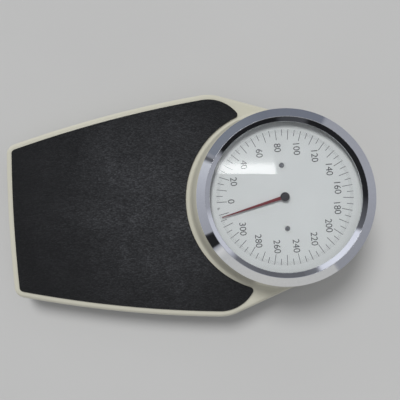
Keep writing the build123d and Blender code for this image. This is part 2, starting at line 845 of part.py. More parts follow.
# Adjuster plate, crossbar, posts and nuts of the spring tower
adjuster_level = nose_plate_top + spring_length
crossbar_level = adjuster_level + adjuster_thickness + adjuster_gap
crossbar_top = crossbar_level + crossbar_thickness
with BuildPart() as adjuster_plate:
    with BuildSketch(Plane.XY.offset(adjuster_level)):
        with Locations((0, nose_y)):
            RectangleRounded(2 * tower_half_length, tower_width, 3)
    extrude(amount=adjuster_thickness)
    with Locations(*[Pos(x, y, adjuster_level) for x, y in post_spots]):
        Hole(post_radius + running_gap)
    with Locations(Pos(0, nose_y, adjuster_level)):
        Hole(zero_screw_radius + running_gap)
save(adjuster_plate.part, "adjuster_plate")

with BuildPart() as tower_crossbar:
    with BuildSketch(Plane.XY.offset(crossbar_level)):
        with Locations((0, nose_y)):
            RectangleRounded(2 * tower_half_length, tower_width, 3)
    extrude(amount=crossbar_thickness)
    with Locations(*[Pos(x, y, crossbar_level) for x, y in post_spots]):
        Hole(stud_radius + press_gap)
    with Locations(Pos(0, nose_y, crossbar_level)):
        Hole(zero_screw_radius + running_gap)
save(tower_crossbar.part, "tower_crossbar")

for (spot_x, spot_y), name in zip(post_spots, ("left", "right")):
    with BuildPart() as tower_post:
        with BuildSketch(Plane.XY.offset(foot_height - rivet_head_height)):
            with Locations((spot_x, spot_y)):
                Circle(stud_radius + 1)
        extrude(amount=rivet_head_height)
        with BuildSketch(Plane.XY.offset(foot_height)):
            with Locations((spot_x, spot_y)):
                Circle(stud_radius)
        extrude(amount=crossbar_top + nut_height - foot_height)
        with BuildSketch(Plane.XY.offset(pan_floor)):
            with Locations((spot_x, spot_y)):
                Circle(post_foot_radius)
        extrude(amount=post_foot_height)
        with BuildSketch(Plane.XY.offset(pan_floor)):
            with Locations((spot_x, spot_y)):
                Circle(post_radius)
        extrude(amount=crossbar_level - pan_floor)
    save(tower_post.part, f"{name}_tower_post")

with BuildPart() as tower_nuts:
    with BuildSketch(Plane.XY.offset(crossbar_top)):
        with Locations(*post_spots):
            RegularPolygon(nut_across / 2, 6, major_radius=False)
            Circle(stud_radius + press_gap, mode=Mode.SUBTRACT)
    extrude(amount=nut_height)
save(tower_nuts.part, "tower_nuts")

# Zero screw and its knurled wheel
with BuildPart() as zero_screw:
    with BuildSketch(Plane.XY.offset(zero_wheel_bottom)):
        with Locations((0, nose_y)):
            Circle(zero_screw_radius)
    extrude(amount=crossbar_top - zero_wheel_bottom)
    with BuildSketch(Plane.XY.offset(crossbar_top)):
        with Locations((0, nose_y)):
            Circle(zero_screw_head_radius)
    extrude(amount=zero_screw_head_height)
    chamfer(zero_screw.faces().sort_by(Axis.Z)[-1].edges(), zero_screw_head_height / 3)
save(zero_screw.part, "zero_screw")

with BuildPart() as zero_wheel:
    with BuildSketch(Plane.XY.offset(zero_wheel_bottom)):
        with Locations((0, nose_y)):
            Circle(zero_wheel_radius)
            Circle(zero_screw_radius + press_gap, mode=Mode.SUBTRACT)
            with PolarLocations(zero_wheel_radius, knurls):
                Circle(knurl_radius, mode=Mode.SUBTRACT)
    extrude(amount=zero_wheel_thickness)
save(zero_wheel.part, "zero_wheel")

# Crank bracket, pivot pin, bell crank and drive pins
with BuildPart() as crank_bracket:
    with BuildSketch(Plane.XY.offset(pan_floor)):
        with Locations((crank_x, crank_pivot.Y)):
            Rectangle(2 * (crank_bracket_half + crank_bracket_sheet), crank_bracket_length)
    extrude(amount=crank_bracket_sheet)
    for side in (-1, 1):
        face_x = crank_x + side * crank_bracket_half
        with BuildSketch(Plane(origin=(face_x, crank_pivot.Y, 0), x_dir=(0, 1, 0), z_dir=(1, 0, 0))):
            with BuildLine():
                Polyline(
                    (-crank_boss_radius, pan_floor), (crank_boss_radius, pan_floor),
                    (crank_boss_radius, crank_pivot.Z), (-crank_boss_radius, crank_pivot.Z), close=True,
                )
            make_face()
            with Locations((0, crank_pivot.Z)):
                Circle(crank_boss_radius)
        extrude(amount=side * crank_bracket_sheet)
    with Locations(Plane(origin=(crank_x, crank_pivot.Y, crank_pivot.Z), z_dir=(1, 0, 0))):
        Hole(crank_pivot_radius + press_gap)
    with Locations(
        Pos(crank_x, crank_pivot.Y + crank_bracket_length / 2 - rivet_inset, pan_floor),
        Pos(crank_x, crank_pivot.Y - crank_bracket_length / 2 + rivet_inset, pan_floor),
    ):
        Hole(rivet_radius + press_gap)
save(crank_bracket.part, "crank_bracket")

with BuildPart() as crank_pivot_pin:
    with BuildSketch(Plane(origin=(crank_x, crank_pivot.Y, crank_pivot.Z), z_dir=(1, 0, 0))):
        Circle(crank_pivot_radius)
    extrude(amount=crank_bracket_half + crank_bracket_sheet + 1, both=True)
save(crank_pivot_pin.part, "crank_pivot_pin")

rest_lean = crank_half_angle - tilt
long_pin = (
    crank_pivot.Y + crank_arm * math.sin(rest_lean),
    crank_pivot.Z + crank_arm * math.cos(rest_lean),
)
short_pin = (short_pin_y, short_pin_z)
crank_plane = Plane(origin=(crank_x - crank_thickness / 2, 0, 0), x_dir=(0, 1, 0), z_dir=(1, 0, 0))
with BuildPart() as bell_crank:
    for arm_end in (long_pin, short_pin):
        with BuildSketch(crank_plane):
            with Locations((crank_pivot.Y, crank_pivot.Z)):
                Circle(crank_boss_radius)
            with Locations(arm_end):
                Circle(crank_end_radius)
            make_hull()
        extrude(amount=crank_thickness)
    with Locations(
        Plane(origin=(crank_x, long_pin[0], long_pin[1]), z_dir=(1, 0, 0)),
        Plane(origin=(crank_x, short_pin[0], short_pin[1]), z_dir=(1, 0, 0)),
    ):
        Hole(drive_pin_radius + press_gap)
    with Locations(Plane(origin=(crank_x, crank_pivot.Y, crank_pivot.Z), z_dir=(1, 0, 0))):
        Hole(crank_pivot_radius + running_gap)
save(bell_crank.part, "bell_crank")

with BuildPart() as crank_drive_pins:
    for arm_end in (long_pin, short_pin):
        with BuildSketch(Plane(origin=(crank_x - crank_thickness / 2, arm_end[0], arm_end[1]), z_dir=(1, 0, 0))):
            Circle(drive_pin_radius)
        extrude(amount=crank_thickness + drive_pin_reach)
save(crank_drive_pins.part, "crank_drive_pins")

# Rivets that hold the brackets to the pan
with BuildPart() as bracket_rivets:
    for spot in rivet_spots:
        sheet = crank_bracket_sheet if spot[0] == crank_x else bracket_sheet
        with BuildSketch(Plane.XY.offset(foot_height - rivet_head_height)):
            with Locations(spot):
                Circle(rivet_head_radius)
        extrude(amount=rivet_head_height, taper=-20)
        with BuildSketch(Plane.XY.offset(foot_height)):
            with Locations(spot):
                Circle(rivet_radius)
        extrude(amount=pan_sheet + sheet)
        with BuildSketch(Plane.XY.offset(pan_floor + sheet)):
            with Locations(spot):
                Circle(rivet_head_radius - rivet_head_height / 4)
        extrude(amount=rivet_head_height, taper=20)
save(bracket_rivets.part, "bracket_rivets")

# Rack: toothed bar, side strip with the slot for the crank's pin, and a lug for its spring
tooth_pitch = math.pi * pinion_module
tooth_half = tooth_pitch / 4 - backlash / 2
flank_slope = math.tan(math.radians(pressure_angle))
rack_dedendum = 1.25 * pinion_module
rack_back = pitch_radius + rack_dedendum + rack_bar_width
rack_teeth_ahead = math.ceil((rack_travel + rack_lead) / tooth_pitch)
rack_end = (rack_teeth_ahead + 1) * tooth_pitch
long_pin_local = dial_plane.to_local_coords(Vector(crank_x, long_pin[0], long_pin[1]))
chord_drift = crank_arm * (2 * crank_half_angle - 2 * math.sin(crank_half_angle))
slot_middle_y = long_pin_local.Y + chord_drift / 2
slot_rise = crank_arm * (1 - math.cos(crank_half_angle))
slot_half = drive_pin_radius + rack_fork_clearance + chord_drift / 2
strip_x = crank_x + crank_thickness / 2 + 1
strip_near = slot_middle_y - slot_half - 3
rack_bottom = -rack_depth - rack_thickness / 2
with BuildPart() as rack:
    with BuildSketch(dial_plane.offset(rack_bottom)):
        root = pitch_radius + rack_dedendum
        tip = pitch_radius - rack_addendum
        root_half = tooth_half + rack_dedendum * flank_slope
        tip_half = tooth_half - rack_addendum * flank_slope
        with Locations(((root + rack_back) / 2, (rack_end - rack_fork_start) / 2)):
            Rectangle(rack_back - root, rack_end + rack_fork_start)
        for tooth in range(-1, rack_teeth_ahead + 1):
            middle = tooth * tooth_pitch
            with BuildLine():
                Polyline(
                    (root, middle - root_half), (root, middle + root_half), (tip, middle + tip_half),
                    (tip, middle - tip_half), close=True,
                )
            make_face()
        with Locations(((root + strip_x + rack_strip_thickness) / 2, 2 - rack_fork_start)):
            Rectangle(strip_x + rack_strip_thickness - root, 4)
    extrude(amount=rack_thickness)
    with BuildSketch(Plane(origin=dial_plane.from_local_coords(Vector(strip_x, 0, -rack_depth)),
                           x_dir=dial_plane.y_dir, z_dir=(1, 0, 0))):
        slot_z = slot_rise / 2 - slot_rise
        with Locations(((strip_near + 4 - rack_fork_start) / 2, slot_z)):
            RectangleRounded(4 - rack_fork_start - strip_near, slot_rise + 2 * slot_half + 5, 1.5)
        with Locations((slot_middle_y, slot_z)):
            SlotCenterToCenter(slot_rise + rack_fork_clearance, 2 * slot_half, rotation=90, mode=Mode.SUBTRACT)
    extrude(amount=rack_strip_thickness)
    with BuildSketch(dial_plane.offset(rack_bottom - rack_thickness / 2)):
        with Locations(((root + rack_back) / 2, rack_end - rack_lug_thickness / 2)):
            Rectangle(rack_back - root, rack_lug_thickness)
    extrude(amount=2 * rack_thickness)
save(rack.part, "rack")

# Pinion with involute flanks, one tooth space facing the rack
base_radius = pitch_radius * math.cos(math.radians(pressure_angle))
tip_radius = pitch_radius + pinion_module
root_radius = pitch_radius - 1.25 * pinion_module


def flank_angle_at(radius):
    """Half angle of a pinion tooth at a radius, from its involute."""
    def involute(r):
        lean = math.acos(base_radius / r)
        return math.tan(lean) - lean
    half_at_pitch = (math.pi * pinion_module / 2 - backlash) / (2 * pitch_radius)
    return half_at_pitch + involute(pitch_radius) - involute(radius)


def flank_point(middle, radius, side):
    """A point on either flank of the tooth at an angle; below the base circle the flank is straight."""
    angle = middle + side * flank_angle_at(max(radius, base_radius))
    return (radius * math.cos(angle), radius * math.sin(angle))


with BuildPart() as pinion:
    with BuildSketch(dial_plane.offset(-rack_depth - pinion_face / 2)):
        Circle(root_radius)
        for tooth in range(pinion_teeth):
            middle = 2 * math.pi * (tooth + 0.5) / pinion_teeth
            half_radius = (base_radius + tip_radius) / 2
            crown = (tip_radius * math.cos(middle), tip_radius * math.sin(middle))
            inside = root_radius - pinion_module / 2
            with BuildLine():
                Line(flank_point(middle, inside, -1), flank_point(middle, base_radius, -1))
                ThreePointArc(*[flank_point(middle, radius, -1) for radius in (base_radius, half_radius, tip_radius)])
                ThreePointArc(flank_point(middle, tip_radius, -1), crown, flank_point(middle, tip_radius, 1))
                ThreePointArc(*[flank_point(middle, radius, 1) for radius in (tip_radius, half_radius, base_radius)])
                Line(flank_point(middle, base_radius, 1), flank_point(middle, inside, 1))
                Line(flank_point(middle, inside, 1), flank_point(middle, inside, -1))
            make_face()
    extrude(amount=pinion_face)
    with BuildSketch(dial_plane.offset(-rack_depth - pinion_face / 2 - pinion_boss_height)):
        Circle(pinion_boss_radius)
    extrude(amount=pinion_boss_height)
    with Locations(dial_plane.offset(-rack_depth)):
        Hole(spindle_radius + press_gap)
save(pinion.part, "pinion")

# Levels in the dial head, down from the bezel's outer edge
bowl_floor_top = -dial_depth - dial_plate_thickness
bowl_underside = bowl_floor_top - bowl_sheet
bridge_top = bowl_underside - bridge_drop
bridge_bottom = bridge_top - bridge_thickness
glass_edge_bottom = -window_depth - glass_thickness
flange_top = glass_edge_bottom - seal_thickness
spindle_bottom = bridge_bottom - spindle_tail
pointer_top = -pointer_depth + pointer_thickness

with BuildPart() as pointer_spindle:
    with BuildSketch(dial_plane.offset(spindle_bottom)):
        Circle(spindle_radius)
    extrude(amount=pointer_top - spindle_bottom)
save(pointer_spindle.part, "pointer_spindle")

with BuildPart() as upper_bearing:
    with BuildSketch(dial_plane.offset(bowl_underside - bearing_flange)):
        Circle(bearing_flange_radius)
        Circle(spindle_radius + running_gap, mode=Mode.SUBTRACT)
    extrude(amount=bearing_flange)
    with BuildSketch(dial_plane.offset(bowl_underside)):
        Circle(bearing_body_radius)
        Circle(spindle_radius + running_gap, mode=Mode.SUBTRACT)
    extrude(amount=bowl_sheet + dial_plate_thickness / 2)
save(upper_bearing.part, "upper_bearing")

with BuildPart() as lower_bearing:
    with BuildSketch(dial_plane.offset(bridge_top)):
        Circle(bearing_flange_radius)
        Circle(spindle_radius + running_gap, mode=Mode.SUBTRACT)
    extrude(amount=bearing_flange)
    with BuildSketch(dial_plane.offset(bridge_bottom)):
        Circle(bearing_body_radius)
        Circle(spindle_radius + running_gap, mode=Mode.SUBTRACT)
    extrude(amount=bridge_thickness)
save(lower_bearing.part, "lower_bearing")

# Bridge plate, its spacers, and the guide that backs the rack
bridge_middle = ((bridge_right - bridge_left) / 2, (bridge_far - bridge_near) / 2)
spacer_spots = GridLocations(
    bridge_left + bridge_right - 2 * spacer_inset, bridge_near + bridge_far - 2 * spacer_inset, 2, 2
)
with BuildPart() as bridge_plate:
    with BuildSketch(dial_plane.offset(bridge_bottom)):
        with Locations(bridge_middle):
            RectangleRounded(bridge_left + bridge_right, bridge_near + bridge_far, 3)
        Circle(bearing_body_radius + press_gap, mode=Mode.SUBTRACT)
    extrude(amount=bridge_thickness)
save(bridge_plate.part, "bridge_plate")

with BuildPart() as bridge_spacers:
    with BuildSketch(dial_plane.offset(bridge_top)):
        with Locations(bridge_middle):
            with spacer_spots:
                Circle(spacer_radius)
    extrude(amount=bridge_drop)
save(bridge_spacers.part, "bridge_spacers")

with BuildPart() as rack_guide:
    guide_face = rack_back + guide_gap
    guide_y = guide_start + guide_length / 2
    with BuildSketch(dial_plane.offset(bridge_top)):
        with Locations((guide_face + guide_wall / 2, guide_y)):
            Rectangle(guide_wall, guide_length)
    extrude(amount=rack_bottom + rack_thickness - bridge_top)
    shelf_left = pitch_radius + rack_dedendum + 0.4
    with BuildSketch(dial_plane.offset(bridge_top)):
        with Locations(((shelf_left + guide_face) / 2, guide_y)):
            Rectangle(guide_face - shelf_left, guide_length)
    extrude(amount=rack_bottom - guide_gap - bridge_top)
save(rack_guide.part, "rack_guide")

# Rack spring and the anchor post that hangs from the bowl
rack_spring_plane = Plane(
    origin=dial_plane.from_local_coords(Vector((root + rack_back) / 2, rack_end, -rack_depth)),
    x_dir=(-1, 0, 0),
    z_dir=dial_plane.y_dir,
)
rack_spring_part, rack_spring_line = coil(
    rack_spring_plane, rack_spring_radius, rack_spring_pitch, rack_spring_turns, rack_spring_wire,
    2 * rack_spring_wire, rack_spring_lead,
)
save(rack_spring_part, "rack_spring")
print(f"rack_spring least gap {least_gap(rack_spring_line, rack_spring_wire, rack_spring_turns):.2f} mm")
anchor_y = rack_end + rack_spring_turns * rack_spring_pitch + 2 * (2 * rack_spring_wire + rack_spring_lead)
anchor_foot = -rack_depth - rack_spring_radius - 2 * rack_spring_wire
with BuildPart() as spring_anchor:
    with BuildSketch(dial_plane.offset(anchor_foot)):
        with Locations(((root + rack_back) / 2, anchor_y + anchor_radius / 2)):
            Rectangle(2 * anchor_radius, anchor_radius)
    extrude(amount=bowl_underside - anchor_foot)
save(spring_anchor.part, "spring_anchor")

# Dial bowl
ring_plane = Plane(origin=dial_plane.origin, x_dir=(1, 0, 0), z_dir=-dial_plane.y_dir)
dial_line = Axis(dial_plane.origin, dial_axis)
flange_bottom = flange_top - bowl_sheet
bowl_inner = bowl_radius - bowl_sheet
with BuildPart() as dial_bowl:
    with BuildSketch(ring_plane):
        with BuildLine():
            Polyline(
                (0, bowl_underside),
                (bowl_radius, bowl_underside),
                (bowl_radius, flange_bottom),
                (bowl_rim_radius, flange_bottom),
                (bowl_rim_radius, flange_top + bowl_lip),
                (bowl_rim_radius - bowl_sheet, flange_top + bowl_lip),
                (bowl_rim_radius - bowl_sheet, flange_top),
                (bowl_inner, flange_top),
                (bowl_inner, bowl_floor_top),
                (0, bowl_floor_top),
                close=True,
            )
        make_face()
    revolve(axis=dial_line)
    with Locations(dial_plane.offset(bowl_floor_top)):
        Hole(bearing_body_radius + press_gap)
        with Locations((-dial_screw_x, 0), (dial_screw_x, 0)):
            Hole(screw_radius + hole_clearance)
save(dial_bowl.part, "dial_bowl")

# Pillars between the pan and the bowl, and their screws
bowl_seat = dial_plane.offset(bowl_underside)
with BuildPart() as dial_pillars:
    with BuildSketch(Plane.XY.offset(pan_floor)):
        with Locations(*pillar_spots):
            Circle(pillar_radius)
            Circle(pillar_screw_radius + hole_clearance, mode=Mode.SUBTRACT)
    extrude(amount=dial_level)
    split(bisect_by=bowl_seat, keep=Keep.BOTTOM)
save(dial_pillars.part, "dial_pillars")

with BuildPart() as pillar_screws:
    with BuildSketch(Plane.XY.offset(foot_height - pillar_screw_head_height)):
        with Locations(*pillar_spots):
            Circle(pillar_screw_head_radius)
    extrude(amount=pillar_screw_head_height)
    with BuildSketch(Plane.XY.offset(foot_height)):
        with Locations(*pillar_spots):
            Circle(pillar_screw_radius)
    extrude(amount=pillar_screw_length)
save(pillar_screws.part, "pillar_screws")

# Dial plate and its two domed screws
with BuildPart() as dial_plate:
    with BuildSketch(dial_plane.offset(bowl_floor_top)):
        Circle(bowl_inner - dial_plate_gap)
        Circle(dial_centre_hole, mode=Mode.SUBTRACT)
        with Locations((-dial_screw_x, 0), (dial_screw_x, 0)):
            Circle(screw_radius + hole_clearance, mode=Mode.SUBTRACT)
    extrude(amount=dial_plate_thickness)
save(dial_plate.part, "dial_plate")

dial_screw_spots = Locations((-dial_screw_x, 0), (dial_screw_x, 0))
with BuildPart() as dial_screws:
    with BuildSketch(dial_plane.offset(-dial_depth)):
        with dial_screw_spots:
            Circle(screw_head_radius)
    extrude(amount=screw_head_height)
    head_edges = dial_screws.edges().group_by(Axis(dial_plane.origin, dial_axis))[-1]
    fillet(head_edges, screw_head_height * 0.9)
    with BuildSketch(dial_plane.offset(screw_head_height - dial_depth)):
        with dial_screw_spots:
            Rectangle(screw_slot_length, screw_slot_width, rotation=45)
            Rectangle(screw_slot_length, screw_slot_width, rotation=-45)
    extrude(amount=-screw_slot_depth, mode=Mode.SUBTRACT)
    with BuildSketch(dial_plane.offset(-dial_depth - screw_length)):
        with dial_screw_spots:
            Circle(screw_radius)
    extrude(amount=screw_length)
save(dial_screws.part, "dial_screws")

# Pointer and its cap
pointer_angle = 2 * math.pi * rest_pounds / full_turn_pounds
pointer_way = dial_plane.x_dir * -math.sin(pointer_angle) + dial_plane.y_dir * -math.cos(pointer_angle)
pointer_plane = Plane(origin=dial_plane.origin, x_dir=pointer_way, z_dir=dial_axis)
with BuildPart() as pointer:
    with BuildSketch(pointer_plane.offset(-pointer_depth)):
        with BuildLine():
            Polyline(
                (0, -pointer_root_width / 2),
                (pointer_length, -pointer_tip_width / 2),
                (pointer_length, pointer_tip_width / 2),
                (0, pointer_root_width / 2),
                close=True,
            )
        make_face()
        Circle(cap_radius - 1)
    extrude(amount=pointer_thickness)
    with BuildSketch(pointer_plane.offset(-pointer_depth - pointer_boss_height)):
        Circle(pointer_boss_radius)
    extrude(amount=pointer_boss_height)
    with Locations(pointer_plane.offset(-pointer_depth)):
        Hole(spindle_radius + press_gap)
save(pointer.part, "pointer")

with BuildPart() as pointer_cap:
    with BuildSketch(dial_plane.offset(pointer_top)):
        Circle(cap_radius)
    extrude(amount=cap_height)
    crown_edge = pointer_cap.faces().sort_by(Axis(dial_plane.origin, dial_axis))[-1].edges()
    fillet(crown_edge, cap_height * 0.8)
save(pointer_cap.part, "pointer_cap")

# Seal under the glass
with BuildPart() as glass_seal:
    with BuildSketch(dial_plane.offset(flange_top)):
        Circle(bowl_rim_radius - bowl_sheet - dial_plate_gap)
        Circle(bowl_inner, mode=Mode.SUBTRACT)
    extrude(amount=seal_thickness)
save(glass_seal.part, "glass_seal")

# Domed glass with a flat rim
dome_radius = window_radius - dial_plate_gap
dome_middle = dome_radius / 2
dome_sphere = (dome_radius**2 + glass_crown**2) / (2 * glass_crown)
dome_rise = math.sqrt(dome_sphere**2 - dome_middle**2) - (dome_sphere - glass_crown)
with BuildPart() as dial_glass:
    with BuildSketch(ring_plane):
        with BuildLine():
            Line((0, glass_crown - window_depth), (0, glass_crown + glass_edge_bottom))
            ThreePointArc(
                (0, glass_crown + glass_edge_bottom), (dome_middle, dome_rise + glass_edge_bottom),
                (dome_radius, glass_edge_bottom),
            )
            Polyline(
                (dome_radius, glass_edge_bottom), (glass_radius, glass_edge_bottom), (glass_radius, -window_depth),
                (dome_radius, -window_depth),
            )
            ThreePointArc(
                (dome_radius, -window_depth), (dome_middle, dome_rise - window_depth),
                (0, glass_crown - window_depth),
            )
        make_face()
    revolve(axis=dial_line)
save(dial_glass.part, "dial_glass")

# Chromed bezel ring: outer band, ridge, inner bevel, and the skirt that grips the bowl
band_slope = ridge_height / (bezel_radius - ridge_radius)
bevel_slope = (ridge_height + window_depth) / (ridge_radius - window_radius)
grip_outer = bezel_grip_radius + bezel_sheet
under_ridge = ridge_height - bezel_sheet * 1.4


def under_band(radius):
    """Underside of the outer band at a radius."""
    return (bezel_radius - radius) * band_slope - bezel_sheet


with BuildPart() as bezel_ring:
    with BuildSketch(ring_plane):
        with BuildLine():
            Polyline(
                (bezel_radius, 0),
                (ridge_radius, ridge_height),
                (window_radius, -window_depth),
                (window_radius + bezel_sheet, -window_depth),
                (window_radius + bezel_sheet + (under_ridge + window_depth) / bevel_slope, under_ridge),
                (bezel_grip_radius, under_band(bezel_grip_radius)),
                (bezel_grip_radius, -bezel_grip_depth),
                (grip_outer, -bezel_grip_depth),
                (grip_outer, under_band(grip_outer)),
                (bezel_radius - bezel_sheet, under_band(bezel_radius - bezel_sheet)),
                (bezel_radius - bezel_sheet, -bezel_edge),
                (bezel_radius, -bezel_edge),
                close=True,
            )
        make_face()
    revolve(axis=dial_line)
    ridge_edges = bezel_ring.edges().filter_by(GeomType.CIRCLE).sort_by(dial_line)[-1]
    fillet(ridge_edges, ridge_round)
save(bezel_ring.part, "bezel_ring")

# Driving values that the joints use, in the scale's own frame
print(f"dial axis point {tuple(round(v, 4) for v in dial_plane.origin)} way {tuple(round(v, 6) for v in dial_axis)}")
print(f"crank pivot {tuple(round(v, 4) for v in crank_pivot)}")
print(f"rack way {tuple(round(v, 6) for v in dial_plane.y_dir)}")
print(f"travels: rack {rack_travel:.4f} crank {math.degrees(2 * crank_half_angle):.4f} deg")
print(f"travels: nose {nose_travel:.4f} short arm {short_arm:.4f} link y {link_y:.3f}")
print(f"main spring from {nose_plate_top:.3f} to {adjuster_level:.3f}")
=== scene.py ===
"""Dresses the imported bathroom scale: finishes, printed dial, stage and camera."""
import json
import math

import bmesh
import bpy
from mathutils import Matrix, Vector


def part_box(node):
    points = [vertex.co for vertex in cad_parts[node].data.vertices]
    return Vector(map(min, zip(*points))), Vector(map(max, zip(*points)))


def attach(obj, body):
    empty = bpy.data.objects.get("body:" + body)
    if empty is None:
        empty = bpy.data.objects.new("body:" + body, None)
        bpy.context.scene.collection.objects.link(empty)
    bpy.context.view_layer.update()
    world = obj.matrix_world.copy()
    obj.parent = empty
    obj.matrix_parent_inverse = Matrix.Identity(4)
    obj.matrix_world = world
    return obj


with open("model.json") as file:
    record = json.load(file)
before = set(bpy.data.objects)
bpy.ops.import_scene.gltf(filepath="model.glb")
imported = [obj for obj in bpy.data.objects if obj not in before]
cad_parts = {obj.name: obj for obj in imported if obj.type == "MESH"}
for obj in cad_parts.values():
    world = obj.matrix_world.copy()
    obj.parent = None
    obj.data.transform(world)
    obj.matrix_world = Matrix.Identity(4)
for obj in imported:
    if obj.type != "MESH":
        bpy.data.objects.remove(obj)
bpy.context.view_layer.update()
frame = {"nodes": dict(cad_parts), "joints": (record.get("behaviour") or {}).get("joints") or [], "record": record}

bl_info = {
    "name": "Bathroom Scale Dresser",
    "version": (1, 0, 0),
    "blender": (4, 5, 0),
    "location": "View3D > Sidebar > Scale",
    "description": "Adds the printed dial, the finishes and a small studio to a bathroom scale",
    "category": "Object",
}

MM = 0.001

# The pointer's hinge stands in the middle of the bezel's outer edge, and leans to the user as the dial does
POINTER_HINGE = next(joint for joint in frame["joints"] if joint["name"] == "pointer_turn")
DIAL_CENTRE = Vector(POINTER_HINGE["pos_m"])
DIAL_TILT = math.asin(POINTER_HINGE["axis"][1])

# Radius of a dial screw's head, and the play between it and the ring pressed round it
SCREW_HEAD = 3.3 * MM
DIMPLE_PLAY = 0.3 * MM

# Weights from one long tick to the next, and from one middle tick to the next
LONG_TICK_STEP = 10
MIDDLE_TICK_STEP = 5

# Height of a digit and distance between digits, as shares of the font's size and own spacing
DIGIT_SHARE = 0.72
DIGIT_SPACING = 0.98

# How far the numerals' strokes grow outward, as a share of their height; below zero they shrink
NUMERAL_BOLDNESS = -0.002

# How finely the turned pieces are divided, along their profile and round their axis
LIP_STEPS = 8
LIP_SIDES = 256
DIMPLE_STEPS = 6
DIMPLE_SIDES = 64

# Middle of the painted sheen on the mat
SHEEN_MIDDLE = (-10 * MM, -40 * MM, 42 * MM)

# What is left of the lamp's light below the glass
GLASS_SHADOW = (0.95, 0.96, 0.96, 1)

# Half the floor's width, in metres
FLOOR_REACH = 4

# Width of the camera's sensor in millimetres, and how near to the camera a thing can be seen
SENSOR_WIDTH = 36
NEAREST_SEEN = 10 * MM

# The camera's right, up and backward ways when it looks straight down with the dial on its right
SQUARE_ABOVE = Matrix(((0, 1, 0), (-1, 0, 0), (0, 0, 1)))

# The studio that metal and glass mirror has a cool tint, two rows of walls and a ceiling. A wall is a row of
# (share of the way round, grey or colour) from -X through -Y, +X and +Y back to -X.
STUDIO_TINT = (0.94, 0.965, 1.06)
LOW_WALLS = (
    # Grey corner, then a pale panel
    (0.000, 0.17), (0.026, 0.20), (0.036, 0.80), (0.070, 0.90), (0.146, 0.84),
    # Dim side with one faint gap
    (0.154, 0.14), (0.200, 0.08), (0.228, 0.02), (0.452, 0.015), (0.466, 0.07), (0.515, 0.06), (0.528, 0.015),
    (0.656, 0.015),
    # Grey side, a paler panel, and the grey corner again
    (0.669, 0.36), (0.690, 0.40), (0.765, 0.38), (0.785, 0.62), (0.850, 0.66), (0.868, 0.18), (0.930, 0.14),
    (0.970, 0.15),
)
MIDDLE_WALLS = (
    # Blue-grey end with a narrow post
    (0.000, (0.18, 0.196, 0.236)), (0.056, (0.21, 0.23, 0.27)), (0.134, (0.22, 0.24, 0.28)), (0.138, 0.34),
    (0.141, 0.30), (0.144, 0.12), (0.150, 0.14),
    # Pale side that dims towards a black doorway
    (0.154, (0.62, 0.64, 0.68)), (0.190, 0.55), (0.240, 0.45), (0.305, 0.38), (0.309, 0.02), (0.337, 0.02),
    (0.340, 0.36),
    # Bright front
    (0.350, (0.70, 0.70, 0.69)), (0.366, (0.54, 0.545, 0.54)), (0.460, (0.58, 0.575, 0.55)),
    (0.602, (0.55, 0.55, 0.54)),
    # Grey side, and the blue-grey end again
    (0.607, 0.33), (0.680, 0.35), (0.760, 0.41), (0.897, 0.38), (0.902, (0.19, 0.205, 0.245)),
)

# Heights of a ray's direction between which the low walls turn into the middle ones, and those into the
# ceiling
LOW_TO_MIDDLE = (0.365, 0.43)
MIDDLE_TO_CEILING = (0.74, 0.90)

# Directions lower than this count as this high where they meet the ceiling
LOWEST_CEILING = 0.2

# Where the shares across and along the ceiling begin, on its -X and -Y sides, measured from right overhead
# with the ceiling's height as 1; the share across ends overhead, and the share along ends a height further
CEILING_LEFT = 0.5
CEILING_NEAR = 0.5

# Greys across the ceiling, and the window strip in it: its slant, how it fades across, and its two ends
CEILING_GREYS = ((0.10, 0.30), (0.45, 0.42), (0.60, 0.42), (1.0, 0.36))
WINDOW_SLANT = -0.126
WINDOW_STRENGTH = 5.0
WINDOW_FADE = (
    (0.28, 0.0), (0.44, 0.10), (0.495, 0.24), (0.535, 0.62), (0.56, 1.0), (0.642, 1.0), (0.655, 0.0),
)
WINDOW_ENDS = ((0.19, 0.0), (0.235, 1.0), (0.515, 1.0), (0.532, 0.0))


# Sizes and colours that a user would change


